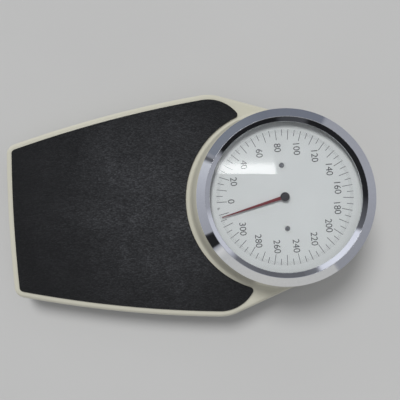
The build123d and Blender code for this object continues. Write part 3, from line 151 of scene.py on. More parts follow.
class DialProperties(bpy.types.PropertyGroup):
    """Sizes of what is printed on the dial plate."""

    face_depth: bpy.props.FloatProperty(
        name="Face Depth",
        description="How far the dial's face lies below the bezel's outer edge",
        default=8.9 * MM,
        unit="LENGTH",
    )
    full_turn: bpy.props.FloatProperty(
        name="Full Turn",
        description="Weight that a full turn of the pointer would show",
        default=330,
    )
    capacity: bpy.props.IntProperty(
        name="Capacity",
        description="Highest weight that has a tick",
        default=320,
    )
    numeral_step: bpy.props.IntProperty(
        name="Numeral Step",
        description="Weight between two numerals",
        default=20,
    )
    numeral_height: bpy.props.FloatProperty(
        name="Numeral Height",
        description="Height of a numeral",
        default=8.4 * MM,
        unit="LENGTH",
    )
    numeral_radius: bpy.props.FloatProperty(
        name="Numeral Radius",
        description="Distance of the numerals' middles from the hub, at the top and bottom of the dial",
        default=67.0 * MM,
        unit="LENGTH",
    )
    numeral_side_shift: bpy.props.FloatProperty(
        name="Side Shift",
        description="How much closer to the hub the numerals at the dial's two sides stand",
        default=4.4 * MM,
        unit="LENGTH",
    )
    tick_outer: bpy.props.FloatProperty(
        name="Tick Outer Radius",
        description="Where every tick ends",
        default=85.4 * MM,
        unit="LENGTH",
    )
    long_tick: bpy.props.FloatProperty(
        name="Long Tick",
        description="Length of a tick at every tenth weight",
        default=12.9 * MM,
        unit="LENGTH",
    )
    middle_tick: bpy.props.FloatProperty(
        name="Middle Tick",
        description="Length of a tick at every fifth weight",
        default=7.8 * MM,
        unit="LENGTH",
    )
    fine_tick: bpy.props.FloatProperty(
        name="Fine Tick",
        description="Length of the other ticks",
        default=4.4 * MM,
        unit="LENGTH",
    )
    tick_width: bpy.props.FloatProperty(
        name="Tick Width",
        description="Width of a long or middle tick",
        default=0.68 * MM,
        unit="LENGTH",
    )
    fine_tick_width: bpy.props.FloatProperty(
        name="Fine Tick Width",
        description="Width of a fine tick",
        default=0.12 * MM,
        unit="LENGTH",
    )
    unit_height: bpy.props.FloatProperty(
        name="Unit Height",
        description="Height of the small unit mark",
        default=3.2 * MM,
        unit="LENGTH",
    )
    dimple_radius: bpy.props.FloatProperty(
        name="Dimple Radius",
        description="Outer radius of the raised ring round a screw",
        default=5.6 * MM,
        unit="LENGTH",
    )
    dimple_height: bpy.props.FloatProperty(
        name="Dimple Height",
        description="Height of the raised ring round a screw",
        default=0.4 * MM,
        unit="LENGTH",
    )
    ink_height: bpy.props.FloatProperty(
        name="Ink Height",
        description="Thickness of the print",
        default=0.04 * MM,
        unit="LENGTH",
    )


class BezelProperties(bpy.types.PropertyGroup):
    """Sizes of the bezel's rolled lip, heights measured from the bezel's outer edge."""

    ridge_radius: bpy.props.FloatProperty(
        name="Ridge Radius",
        description="Where the lip leaves the ridge",
        default=99.2 * MM,
        unit="LENGTH",
    )
    ridge_height: bpy.props.FloatProperty(
        name="Ridge Height",
        description="Height at which the lip leaves the ridge",
        default=4.93 * MM,
        unit="LENGTH",
    )
    lip_slope: bpy.props.FloatProperty(
        name="Lip Slope",
        description="Slope of the lip towards the glass",
        default=math.radians(42),
        unit="ROTATION",
    )
    lip_radius: bpy.props.FloatProperty(
        name="Lip Radius",
        description="Radius of the lip's inner edge",
        default=93.88 * MM,
        unit="LENGTH",
    )
    lip_round: bpy.props.FloatProperty(
        name="Lip Round",
        description="Rounding of the lip's inner edge",
        default=0.7 * MM,
        unit="LENGTH",
    )
    glass_depth: bpy.props.FloatProperty(
        name="Glass Depth",
        description="How deep the lip reaches to meet the glass",
        default=1.45 * MM,
        unit="LENGTH",
    )


class FinishProperties(bpy.types.PropertyGroup):
    """Colours of the finishes."""

    enamel: bpy.props.FloatVectorProperty(
        name="Enamel",
        description="Colour of the cover",
        subtype="COLOR",
        size=3,
        default=(0.56, 0.545, 0.455),
    )
    rubber: bpy.props.FloatVectorProperty(
        name="Rubber",
        description="Colour of the mat",
        subtype="COLOR",
        size=3,
        default=(0.016, 0.0165, 0.018),
    )
    pan: bpy.props.FloatVectorProperty(
        name="Pan",
        description="Colour of the base pan's enamel",
        subtype="COLOR",
        size=3,
        default=(0.16, 0.165, 0.165),
    )
    feet: bpy.props.FloatVectorProperty(
        name="Feet",
        description="Colour of the feet and of the seal under the glass",
        subtype="COLOR",
        size=3,
        default=(0.025, 0.025, 0.026),
    )
    wheel: bpy.props.FloatVectorProperty(
        name="Zero Wheel",
        description="Colour of the zero wheel",
        subtype="COLOR",
        size=3,
        default=(0.018, 0.018, 0.02),
    )
    dial: bpy.props.FloatVectorProperty(
        name="Dial",
        description="Colour of the dial plate",
        subtype="COLOR",
        size=3,
        default=(0.775, 0.78, 0.775),
    )
    ink: bpy.props.FloatVectorProperty(
        name="Ink",
        description="Colour of the print",
        subtype="COLOR",
        size=3,
        default=(0.045, 0.045, 0.05),
    )
    pointer: bpy.props.FloatVectorProperty(
        name="Pointer",
        description="Colour of the pointer",
        subtype="COLOR",
        size=3,
        default=(0.17, 0.007, 0.012),
    )
    cap: bpy.props.FloatVectorProperty(
        name="Pointer Cap",
        description="Colour of the cap on the pointer's hub",
        subtype="COLOR",
        size=3,
        default=(0.03, 0.026, 0.03),
    )
    chrome: bpy.props.FloatVectorProperty(
        name="Chrome",
        description="Colour of the bezel",
        subtype="COLOR",
        size=3,
        default=(0.80, 0.81, 0.84),
    )
    glass: bpy.props.FloatVectorProperty(
        name="Glass",
        description="Tint of the dial glass",
        subtype="COLOR",
        size=3,
        default=(0.97, 0.985, 0.98),
    )
    screws: bpy.props.FloatVectorProperty(
        name="Dial Screws",
        description="Colour of the two screws in the dial plate",
        subtype="COLOR",
        size=3,
        default=(0.36, 0.36, 0.37),
    )
    zinc: bpy.props.FloatVectorProperty(
        name="Zinc",
        description="Colour of the plated levers and brackets",
        subtype="COLOR",
        size=3,
        default=(0.5, 0.5, 0.48),
    )
    steel: bpy.props.FloatVectorProperty(
        name="Bright Steel",
        description="Colour of the pins and other bright steel",
        subtype="COLOR",
        size=3,
        default=(0.6, 0.6, 0.61),
    )
    springs: bpy.props.FloatVectorProperty(
        name="Spring Steel",
        description="Colour of the springs",
        subtype="COLOR",
        size=3,
        default=(0.26, 0.26, 0.27),
    )
    brass: bpy.props.FloatVectorProperty(
        name="Brass",
        description="Colour of the turned brass",
        subtype="COLOR",
        size=3,
        default=(0.66, 0.46, 0.18),
    )


class StageProperties(bpy.types.PropertyGroup):
    """Floor, lamp, air and camera."""

    floor: bpy.props.FloatVectorProperty(
        name="Floor",
        description="Colour of the floor",
        subtype="COLOR",
        size=3,
        default=(0.53, 0.53, 0.525),
    )
    backdrop_level: bpy.props.FloatProperty(
        name="Backdrop Level",
        description="Brightness of the floor's colour where the camera looks past the floor",
        default=0.96,
    )
    air: bpy.props.FloatVectorProperty(
        name="Air",
        description="Colour of the even light all round",
        subtype="COLOR",
        size=3,
        default=(0.98, 0.985, 1.0),
    )
    air_level: bpy.props.FloatProperty(
        name="Air Level",
        description="Strength of the even light all round",
        default=0.45,
    )
    lamp_place: bpy.props.FloatVectorProperty(
        name="Lamp Place",
        description="The side from which the soft lamp shines at the scale",
        subtype="TRANSLATION",
        size=3,
        default=(-2.1, -1.0, 3.2),
    )
    lamp_spread: bpy.props.FloatProperty(
        name="Lamp Spread",
        description="How wide the soft lamp looks from the scale",
        default=math.radians(22),
        unit="ROTATION",
    )
    lamp_strength: bpy.props.FloatProperty(
        name="Lamp Strength",
        description="Strength of the soft lamp",
        default=2.02,
    )
    camera_place: bpy.props.FloatVectorProperty(
        name="Camera Place",
        description="Where the camera stands",
        subtype="TRANSLATION",
        size=3,
        default=(0.0251, -0.0178, 0.6076),
    )
    camera_turn: bpy.props.FloatVectorProperty(
        name="Camera Turn",
        description="Turn away from square above the scale: its axis, as long as the angle is wide",
        subtype="XYZ",
        unit="ROTATION",
        size=3,
        default=(math.radians(-3.34), math.radians(3.17), math.radians(4.75)),
    )
    lens: bpy.props.FloatProperty(
        name="Lens",
        description="Focal length in millimetres",
        default=38.7,
    )


# Small helpers for shapes


def dial_matrix(depth=0.0):
    """Frame of the dial plane, with Z along the dial's axis and Y towards its far side."""
    tilt = Matrix.Rotation(DIAL_TILT, 4, "X")
    return Matrix.Translation(DIAL_CENTRE) @ tilt @ Matrix.Translation((0, 0, -depth))


def dial_way(angle):
    """Direction from the hub in which the pointer points when it has turned by an angle from zero."""
    return Vector((-math.sin(angle), -math.cos(angle), 0))


def piece_from(bm, name, matrix=None):
    """Turn a bmesh into a scene object, with its place in its mesh."""
    if matrix is not None:
        bm.transform(matrix)
    mesh = bpy.data.meshes.new(name)
    bm.to_mesh(mesh)
    bm.free()
    piece = bpy.data.objects.new(name, mesh)
    bpy.context.scene.collection.objects.link(piece)
    return piece


def add_bar(bm, inner, outer, angle, width, height):
    """One printed tick from an inner to an outer radius."""
    way = dial_way(angle)
    side = Vector((way.y, -way.x, 0)) * width / 2
    corners = [way * inner - side, way * outer - side, way * outer + side, way * inner + side]
    top = [bm.verts.new(corner + Vector((0, 0, height))) for corner in corners]
    bottom = [bm.verts.new(corner) for corner in corners]
    bm.faces.new(top)
    for i in range(4):
        j = (i + 1) % 4
        bm.faces.new((bottom[i], bottom[j], top[j], top[i]))


def add_lathe(bm, profile, sides, centre=(0, 0, 0)):
    """Surface of revolution about an upright axis, from (radius, height) points."""
    rings = []
    for radius, height in profile:
        ring = []
        for side in range(sides):
            angle = 2 * math.pi * side / sides
            point = Vector((radius * math.cos(angle), radius * math.sin(angle), height))
            ring.append(bm.verts.new(point + Vector(centre)))
        rings.append(ring)
    for lower, upper in zip(rings, rings[1:]):
        for side in range(sides):
            following = (side + 1) % sides
            bm.faces.new((lower[side], lower[following], upper[following], upper[side]))


def smooth(piece):
    """Smooth shading all over."""
    for face in piece.data.polygons:
        face.use_smooth = True


def set_finish(node, material):
    """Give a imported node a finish."""
    piece = frame["nodes"][node]
    piece.data.materials.clear()
    piece.data.materials.append(material)


# Node trees of finishes and surroundings


def shade(colour, factor):
    """A colour made darker or lighter."""
    return tuple(min(1.0, channel * factor) for channel in colour)


class NodeBuilder:
    """A node tree under construction; each method adds a node and gives back what comes out of it."""

    def __init__(self, tree):
        self.nodes = tree.nodes
        self.links = tree.links

    def add(self, kind, inputs=None, **settings):
        """The outputs of a new node; an input is a socket to link or a plain value."""
        node = self.nodes.new(kind)
        for name, value in settings.items():
            setattr(node, name, value)
        for place, value in (inputs or {}).items():
            if isinstance(value, bpy.types.NodeSocket):
                self.links.new(value, node.inputs[place])
            else:
                node.inputs[place].default_value = value
        return node.outputs

    def work_out(self, operation, *values):
        """A number worked out from sockets or numbers."""
        return self.add("ShaderNodeMath", dict(enumerate(values)), operation=operation)["Value"]

    def mix(self, first, second, factor=1.0, kind="MIX"):
        """Two colours mixed, added or multiplied."""
        inputs = {"Factor": factor, "A": first, "B": second}
        return self.add("ShaderNodeMix", inputs, data_type="RGBA", blend_type=kind)["Result"]

    def ramp(self, factor, *stops, tint=(1, 1, 1)):
        """Colour ramp through (place, colour) stops; a plain number stands for a grey in the tint."""
        node = self.nodes.new("ShaderNodeValToRGB")
        elements = node.color_ramp.elements
        while len(elements) < len(stops):
            elements.new(0.5)
        for element, (place, colour) in zip(elements, stops):
            if isinstance(colour, (int, float)):
                colour = [channel * colour for channel in tint]
            element.position = place
            element.color = (*colour, 1)
        self.links.new(factor, node.inputs["Fac"])
        return node.outputs["Color"]


class Finish(NodeBuilder):
    """A material under construction."""

    def __init__(self, name):
        self.material = bpy.data.materials.new(name)
        self.material.use_nodes = True
        super().__init__(self.material.node_tree)
        self.shader = self.nodes["Principled BSDF"]
        self.place = self.add("ShaderNodeTexCoord")["Object"]

    def set(self, **values):
        """Plain values on the shader's own sockets, named with _ for a space."""
        for socket, value in values.items():
            self.shader.inputs[socket.replace("_", " ")].default_value = value
        return self

    def feed(self, socket, value):
        """Link something to one of the shader's sockets."""
        self.links.new(value, self.shader.inputs[socket])

    def vary_colour(self, factor, colour, darkest, lightest, start=0.3, end=0.7):
        """Base colour between a darker and a lighter shade of one colour."""
        stops = (start, shade(colour, darkest)), (end, shade(colour, lightest))
        self.feed("Base Color", self.ramp(factor, *stops))

    def vary_roughness(self, factor, smoothest, roughest, start=0.3, end=0.7):
        """Roughness between two levels."""
        self.feed("Roughness", self.ramp(factor, (start, smoothest), (end, roughest)))

    def noise(self, scale, detail=4, roughness=0.55, distortion=0, output="Fac"):
        """Fractal noise at a scale in features per metre."""
        inputs = {"Scale": scale, "Detail": detail, "Roughness": roughness, "Distortion": distortion}
        return self.add("ShaderNodeTexNoise", {**inputs, "Vector": self.place})[output]

    def cells(self, scale, feature="F1", source=None, output="Distance"):
        """Cell pattern at a scale in cells per metre."""
        inputs = {"Scale": scale, "Vector": source or self.place}
        return self.add("ShaderNodeTexVoronoi", inputs, feature=feature)[output]

    def grey(self, colour):
        """Brightness of a colour."""
        return self.add("ShaderNodeRGBToBW", {"Color": colour})["Val"]

    def slope(self):
        """How level the surface lies: 1 where it faces up, 0 on an upright wall."""
        normal = self.add("ShaderNodeNewGeometry")["Normal"]
        return self.add("ShaderNodeSeparateXYZ", {"Vector": normal})["Z"]

    def bump(self, height, depth, strength, under=None):
        """Relief of a real depth in metres, on top of another one if given."""
        inputs = {"Height": height, "Distance": depth, "Strength": strength}
        if under is not None:
            inputs["Normal"] = under
        return self.add("ShaderNodeBump", inputs)["Normal"]


class Surroundings(NodeBuilder):
    """World nodes under construction; directions are those in which a ray leaves the scene."""

    def __init__(self, world):
        super().__init__(world.node_tree)
        self.nodes.remove(self.nodes["Background"])
        direction = self.add("ShaderNodeTexCoord")["Generated"]
        split = self.add("ShaderNodeSeparateXYZ", {"Vector": direction})
        self.x, self.y, self.z = (split[axis] for axis in "XYZ")
        self.path = self.add("ShaderNodeLightPath")

    def compass(self, *stops):
        """Greys and colours by compass direction."""
        turn = self.work_out("ARCTAN2", self.y, self.x)
        share = self.work_out("MULTIPLY_ADD", turn, 0.5 / math.pi, 0.5)
        return self.ramp(share, *stops, tint=STUDIO_TINT)

    def ceiling(self):
        """A plain ceiling with a bright slanting window strip that fades on one side."""
        height = self.work_out("MAXIMUM", self.z, LOWEST_CEILING)
        across = self.work_out("DIVIDE", self.x, height)
        along = self.work_out("DIVIDE", self.y, height)
        slanted = self.work_out("MULTIPLY_ADD", along, WINDOW_SLANT, across)
        share_across = self.work_out("MULTIPLY_ADD", slanted, 1 / CEILING_LEFT, 1.0)
        share_along = self.work_out("ADD", along, CEILING_NEAR)
        greys = self.ramp(share_across, *CEILING_GREYS, tint=STUDIO_TINT)
        fade = self.ramp(share_across, *WINDOW_FADE)
        ends = self.ramp(share_along, *WINDOW_ENDS)
        window = self.work_out("MULTIPLY", self.work_out("MULTIPLY", fade, ends), WINDOW_STRENGTH)
        return self.mix(greys, window, kind="ADD")

    def rise(self, start, end):
        """From 0 to 1 as the direction climbs between two heights."""
        inputs = {"Value": self.z, "From Min": start, "From Max": end}
        return self.add("ShaderNodeMapRange", inputs, interpolation_type="SMOOTHSTEP")["Result"]

    def background(self, colour, level=1.0):
        """A background in a colour, at a level of brightness."""
        return self.add("ShaderNodeBackground", {"Color": colour, "Strength": level})["Background"]

    def choose(self, ray, others, when):
        """One background for a kind of ray, another for the rest."""
        return self.add("ShaderNodeMixShader", {"Fac": self.path[ray], 1: others, 2: when})["Shader"]

    def finish(self, shader):
        """Use a background as the world's surface."""
        self.links.new(shader, self.nodes["World Output"].inputs["Surface"])


# Finishes


def enamel_finish(name, colour):
    """Stoved enamel: faint orange peel, a little cloudiness and a glossy coat."""
    finish = Finish(name)
    cloud = finish.noise(scale=14, detail=3, roughness=0.5)
    gloss = finish.noise(scale=22, detail=3, roughness=0.5)
    peel = finish.noise(scale=260, detail=2, roughness=0.5)
    finish.vary_colour(cloud, colour, darkest=0.96, lightest=1.04, start=0.0, end=1.0)
    finish.vary_roughness(gloss, smoothest=0.285, roughest=0.36, start=0.0, end=1.0)
    finish.feed("Normal", finish.bump(peel, depth=0.03 * MM, strength=0.15))
    return finish.set(Coat_Weight=0.3, Coat_Roughness=0.16, IOR=1.5).material


def pebble_source(finish):
    """Where the mat's pebbles are looked up: they wander a little, and are longer along the scale."""
    wander = finish.noise(scale=160, detail=2, roughness=0.5, output="Color")
    wander_reach = (1.6 * MM, 1.6 * MM, 1.6 * MM)
    closeness = (1.25, 0.5, 1.25)
    inputs = {0: wander, 1: wander_reach, 2: finish.place}
    wandering = finish.add("ShaderNodeVectorMath", inputs, operation="MULTIPLY_ADD")["Vector"]
    return finish.add("ShaderNodeMapping", {"Vector": wandering, "Scale": closeness})["Vector"]


def mat_wear(finish, colour, cloud):
    """The mat's colour: paler in scuffed patches, with a painted sheen round a spot near its middle and painted
    shade that blackens its upright rim.
    """
    sheen_radius = 0.25
    unevenness = 0.35
    inputs = {0: finish.place, 1: SHEEN_MIDDLE}
    away = finish.add("ShaderNodeVectorMath", inputs, operation="DISTANCE")["Value"]
    reach = finish.work_out("MULTIPLY_ADD", cloud, unevenness, finish.work_out("DIVIDE", away, sheen_radius))
    # Painted sheen: paler round a spot near the mat's middle, darker towards its ends
    painted_sheen = finish.ramp(reach, (0.15, 1.0), (0.50, 0.66), (0.68, 0.34), (0.90, 0.15))
    scuffs = finish.noise(scale=11, detail=7, roughness=0.7, distortion=0.5)
    scuff_shades = ((0.35, 1.6), (0.55, 2.4), (0.75, 4.2))
    stops = [(place, shade(colour, factor)) for place, factor in scuff_shades]
    scuffs_and_sheen = finish.mix(finish.ramp(scuffs, *stops), painted_sheen, kind="MULTIPLY")
    # Painted shade: the mat's sloping and upright rim turns nearly black
    rim_shade = finish.ramp(finish.slope(), (0.70, 0.08), (0.99, 1.0))
    return finish.mix(scuffs_and_sheen, rim_shade, kind="MULTIPLY")


def rubber_mat_finish(name, colour):
    """Black rubber with a fine leather grain, worn smoother and paler in places, with a painted sheen, and painted
    shade in its hollows and on its rim.
    """
    finish = Finish(name)
    pebbles_per_metre = 760
    source = pebble_source(finish)
    pebbles = finish.cells(pebbles_per_metre, "SMOOTH_F1", source)
    shades = finish.cells(pebbles_per_metre, "SMOOTH_F1", source, "Color")
    creases = finish.noise(scale=300, detail=5, roughness=0.6, distortion=0.4)
    cloud = finish.noise(scale=5, detail=3, roughness=0.5)
    speckle = finish.ramp(finish.grey(shades), (0.25, 0.6), (0.75, 1.5))
    # Painted shade in the grain's hollows and painted light on its pebbles' tops
    grain_hollow_shade = finish.ramp(pebbles, (0.15, 1.35), (0.75, 0.35))
    speckled = finish.mix(mat_wear(finish, colour, cloud), speckle, kind="MULTIPLY")
    finish.feed("Base Color", finish.mix(speckled, grain_hollow_shade, kind="MULTIPLY"))
    finish.vary_roughness(cloud, smoothest=0.48, roughest=0.6)
    grain = finish.bump(finish.work_out("SUBTRACT", 1.0, pebbles), depth=0.5 * MM, strength=0.9)
    finish.feed("Normal", finish.bump(creases, depth=0.4 * MM, strength=0.5, under=grain))
    return finish.set(Specular_IOR_Level=0.45).material


def plain_rubber_finish(name, colour):
    """Moulded rubber for the feet and the seal."""
    finish = Finish(name)
    finish.vary_colour(finish.noise(scale=90), colour, darkest=0.8, lightest=1.3)
    finish.vary_roughness(finish.noise(scale=240, detail=3), smoothest=0.62, roughest=0.78)
    finish.feed("Normal", finish.bump(finish.noise(scale=900, detail=3), depth=0.05 * MM, strength=0.5))
    return finish.material


def chrome_finish(name, colour):
    """Bright plating with hair-fine wiping marks."""
    finish = Finish(name)
    wipes = finish.noise(scale=220, detail=5, roughness=0.7, distortion=1.2)
    haze = finish.noise(scale=55, detail=5, roughness=0.65)
    finish.vary_colour(wipes, colour, darkest=0.97, lightest=1.02)
    finish.vary_roughness(haze, smoothest=0.02, roughest=0.06, start=0.35, end=0.75)
    return finish.set(Metallic=1.0).material


def steel_finish(name, colour, roughness):
    """Drawn or turned metal with a fine grain."""
    finish = Finish(name)
    grain = finish.noise(scale=900, roughness=0.6)
    finish.vary_colour(grain, colour, darkest=0.86, lightest=1.1)
    finish.vary_roughness(finish.noise(scale=120, detail=3), roughness * 0.8, roughness * 1.2)
    finish.feed("Normal", finish.bump(grain, depth=0.03 * MM, strength=0.4))
    return finish.set(Metallic=1.0).material


def zinc_finish(name, colour):
    """Zinc plating with its spangle."""
    finish = Finish(name)
    spangle = finish.grey(finish.cells(260, output="Color"))
    finish.vary_colour(spangle, colour, darkest=0.82, lightest=1.08, start=0.2, end=0.8)
    finish.vary_roughness(spangle, smoothest=0.3, roughest=0.46, start=0.2, end=0.8)
    finish.feed("Normal", finish.bump(finish.noise(scale=500, detail=3), depth=0.03 * MM, strength=0.3))
    return finish.set(Metallic=1.0).material


def plastic_finish(name, colour):
    """Glossy moulded plastic."""
    finish = Finish(name)
    finish.vary_colour(finish.noise(scale=70, detail=3), colour, darkest=0.85, lightest=1.15)
    finish.vary_roughness(finish.noise(scale=180), smoothest=0.16, roughest=0.28)
    finish.feed("Normal", finish.bump(finish.noise(scale=700, detail=2), depth=0.02 * MM, strength=0.3))
    return finish.material


def dial_finish(name, colour):
    """Satin white lacquer with a soft mottling."""
    finish = Finish(name)
    mottle = finish.noise(scale=30, detail=2)
    finish.vary_colour(mottle, colour, darkest=0.96, lightest=1.04, start=0.0, end=1.0)
    finish.vary_roughness(finish.noise(scale=90, detail=3), smoothest=0.42, roughest=0.52)
    finish.feed("Normal", finish.bump(finish.noise(scale=1200, detail=2), depth=0.01 * MM, strength=0.3))
    return finish.material


def ink_finish(name, colour):
    """Screen-printed ink, a little uneven."""
    finish = Finish(name)
    finish.vary_colour(finish.noise(scale=900, detail=3), colour, darkest=0.8, lightest=1.4, end=0.75)
    finish.vary_roughness(finish.noise(scale=400, detail=3), smoothest=0.5, roughest=0.65)
    return finish.material


def glass_finish(name, colour):
    """Clear glass that lets the lamp through to the dial."""
    finish = Finish(name)
    finish.set(Base_Color=(*colour, 1), Transmission_Weight=1.0, IOR=1.5)
    finish.vary_roughness(finish.noise(scale=35, detail=5), smoothest=0.0, roughest=0.02, start=0.45, end=0.9)
    shadow_ray = finish.add("ShaderNodeLightPath")["Is Shadow Ray"]
    clear = finish.add("ShaderNodeBsdfTransparent", {"Color": GLASS_SHADOW})["BSDF"]
    inputs = {"Fac": shadow_ray, 1: finish.shader.outputs["BSDF"], 2: clear}
    surface = finish.add("ShaderNodeMixShader", inputs)["Shader"]
    finish.links.new(surface, finish.nodes["Material Output"].inputs["Surface"])
    return finish.material


# Operators, one for each piece or group of like pieces


class SCALE_OT_finish_cover(bpy.types.Operator):
    """Finish the enamelled cover and its rubber mat"""

    bl_idname = "scale.finish_cover"
    bl_label = "Cover and Mat"

    def execute(self, context):
        colours = context.scene.scale_finish
        set_finish("platform_cover", enamel_finish("cream_enamel", colours.enamel))
        set_finish("platform_mat", rubber_mat_finish("grained_rubber", colours.rubber))
        return {"FINISHED"}


class SCALE_OT_finish_base(bpy.types.Operator):
    """Finish the base pan, the feet, the glass seal and the zero wheel"""

    bl_idname = "scale.finish_base"
    bl_label = "Base and Feet"

    def execute(self, context):
        colours = context.scene.scale_finish
        set_finish("base_pan", enamel_finish("grey_enamel", colours.pan))
        rubber = plain_rubber_finish("foot_rubber", colours.feet)
        for node in ("near_left_foot", "near_right_foot", "far_left_foot", "far_right_foot", "glass_seal"):
            set_finish(node, rubber)
        set_finish("zero_wheel", plastic_finish("black_plastic", colours.wheel))
        return {"FINISHED"}


class SCALE_OT_finish_mechanism(bpy.types.Operator):
    """Finish the levers, springs and movement inside"""

    bl_idname = "scale.finish_mechanism"
    bl_label = "Mechanism"

    def execute(self, context):
        colours = context.scene.scale_finish
        finishes = {
            "plated_steel": zinc_finish("zinc_plate", colours.zinc),
            "bright_steel": steel_finish("bright_steel", colours.steel, roughness=0.26),
            "spring_steel": steel_finish("spring_steel", colours.springs, roughness=0.34),
            "brass": steel_finish("turned_brass", colours.brass, roughness=0.25),
        }
        for part in frame["record"]["subparts"]:
            if part["material_slot"] in finishes:
                set_finish(part["node"], finishes[part["material_slot"]])
        return {"FINISHED"}


class SCALE_OT_finish_bezel(bpy.types.Operator):
    """Finish the chromed bezel, its lip, the glass and the dial screws"""

    bl_idname = "scale.finish_bezel"
    bl_label = "Bezel and Glass"

    def execute(self, context):
        colours = context.scene.scale_finish
        set_finish("bezel_ring", chrome_finish("bright_chrome", colours.chrome))
        set_finish("dial_glass", glass_finish("clear_glass", colours.glass))
        set_finish("dial_screws", steel_finish("screw_steel", colours.screws, roughness=0.14))
        self.roll_lip(context.scene.scale_bezel)
        return {"FINISHED"}

    def roll_lip(self, sizes):
        """The lip that rolls from the ridge down to the glass and stands on it."""
        slope = sizes.lip_slope
        middle = sizes.lip_radius + sizes.lip_round
        corner = middle - sizes.lip_round * math.sin(slope)
        run = sizes.ridge_radius - corner
        foot = sizes.ridge_height - run * math.tan(slope)
        centre = foot - sizes.lip_round * math.cos(slope)
        profile = []
        for step in range(LIP_STEPS):
            inward = run * step / LIP_STEPS
            profile.append((sizes.ridge_radius - inward, sizes.ridge_height - inward * math.tan(slope)))
        for step in range(LIP_STEPS + 1):
            angle = slope + (math.pi / 2 - slope) * step / LIP_STEPS
            radius = middle - sizes.lip_round * math.sin(angle)
            profile.append((radius, centre + sizes.lip_round * math.cos(angle)))
        profile.append((sizes.lip_radius, -sizes.glass_depth))
        bm = bmesh.new()
        add_lathe(bm, profile, LIP_SIDES)
        lip = piece_from(bm, "bezel_lip", dial_matrix())
        smooth(lip)
        lip.data.materials.append(frame["nodes"]["bezel_ring"].data.materials[0])
        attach(lip, "base")


class SCALE_OT_finish_pointer(bpy.types.Operator):
    """Finish the pointer and its cap"""

    bl_idname = "scale.finish_pointer"
    bl_label = "Pointer"

    def execute(self, context):
        colours = context.scene.scale_finish
        set_finish("pointer", enamel_finish("pointer_red", colours.pointer))
        set_finish("pointer_cap", plastic_finish("cap_plastic", colours.cap))
        return {"FINISHED"}


class SCALE_OT_print_dial(bpy.types.Operator):
    """Finish the dial plate, raise its dimples and print its ticks and numerals"""

    bl_idname = "scale.print_dial"
    bl_label = "Dial Print"

    def execute(self, context):
        sizes = context.scene.scale_dial
        colours = context.scene.scale_finish
        set_finish("dial_plate", dial_finish("dial_lacquer", colours.dial))
        self.raise_dimples(sizes)
        ink = ink_finish("dial_ink", colours.ink)
        self.print_ticks(sizes, ink)
        self.print_numerals(sizes, ink)
        return {"FINISHED"}

    def print_ticks(self, sizes, ink):
        """A tick for every unit of weight, longer at every fifth and longest at every tenth."""
        bm = bmesh.new()
        for weight in range(sizes.capacity + 1):
            angle = 2 * math.pi * weight / sizes.full_turn
            if weight % LONG_TICK_STEP == 0:
                length, width = sizes.long_tick, sizes.tick_width
            elif weight % MIDDLE_TICK_STEP == 0:
                length, width = sizes.middle_tick, sizes.tick_width
            else:
                length, width = sizes.fine_tick, sizes.fine_tick_width
            add_bar(bm, sizes.tick_outer - length, sizes.tick_outer, angle, width, sizes.ink_height)
        ticks = piece_from(bm, "dial_ticks", dial_matrix(sizes.face_depth))
        ticks.data.materials.append(ink)
        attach(ticks, "base")

    def print_numerals(self, sizes, ink):
        """The numerals, and the small unit mark in the gap before zero."""
        bm = bmesh.new()
        for weight in range(0, sizes.capacity, sizes.numeral_step):
            angle = 2 * math.pi * weight / sizes.full_turn
            radius = sizes.numeral_radius - sizes.numeral_side_shift * math.sin(angle) ** 2
            spot = Matrix.Translation(dial_way(angle) * radius)
            self.add_text(bm, str(weight), sizes.numeral_height, NUMERAL_BOLDNESS, sizes, spot)
        unit_angle = math.pi * (1 + sizes.capacity / sizes.full_turn)
        unit_radius = sizes.tick_outer - sizes.unit_height / 2
        spot = Matrix.Translation(dial_way(unit_angle) * unit_radius)
        self.add_text(bm, "lb", sizes.unit_height, 0.0, sizes, spot)
        numerals = piece_from(bm, "dial_numerals", dial_matrix(sizes.face_depth))
        numerals.data.materials.append(ink)
        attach(numerals, "base")

    def raise_dimples(self, sizes):
        """The dial plate's low raised rings round its screws."""
        low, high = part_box("dial_screws")
        reach = (high[0] - low[0]) / 2 - SCREW_HEAD
        inner = SCREW_HEAD + DIMPLE_PLAY
        profile = []
        for step in range(DIMPLE_STEPS + 1):
            share = step / DIMPLE_STEPS
            radius = inner + (sizes.dimple_radius - inner) * share
            profile.append((radius, sizes.dimple_height * math.sin(math.pi * share)))
        bm = bmesh.new()
        for side in (-1, 1):
            add_lathe(bm, profile, DIMPLE_SIDES, (side * reach, 0, 0))
        dimples = piece_from(bm, "dial_dimples", dial_matrix(sizes.face_depth))
        smooth(dimples)
        dimples.data.materials.append(frame["nodes"]["dial_plate"].data.materials[0])
        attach(dimples, "base")

    def add_text(self, bm, text, height, boldness, sizes, spot):
        """Outline of a number or word, centred on its spot; boldness is a share of its height."""
        curve = bpy.data.curves.new("numeral", "FONT")
        curve.body = text
        curve.align_x = "CENTER"
        curve.align_y = "CENTER"
        curve.size = height / DIGIT_SHARE
        curve.space_character = DIGIT_SPACING
        curve.offset = boldness * height
        curve.extrude = sizes.ink_height / 2
        carrier = bpy.data.objects.new("numeral", curve)
        bpy.context.scene.collection.objects.link(carrier)
        mesh = bpy.data.meshes.new_from_object(carrier)
        rows = [vertex.co.y for vertex in mesh.vertices]
        middle = (min(rows) + max(rows)) / 2
        mesh.transform(spot @ Matrix.Translation((0, -middle, sizes.ink_height / 2)))
        bm.from_mesh(mesh)
        bpy.data.objects.remove(carrier)
        bpy.data.curves.remove(curve)
        bpy.data.meshes.remove(mesh)


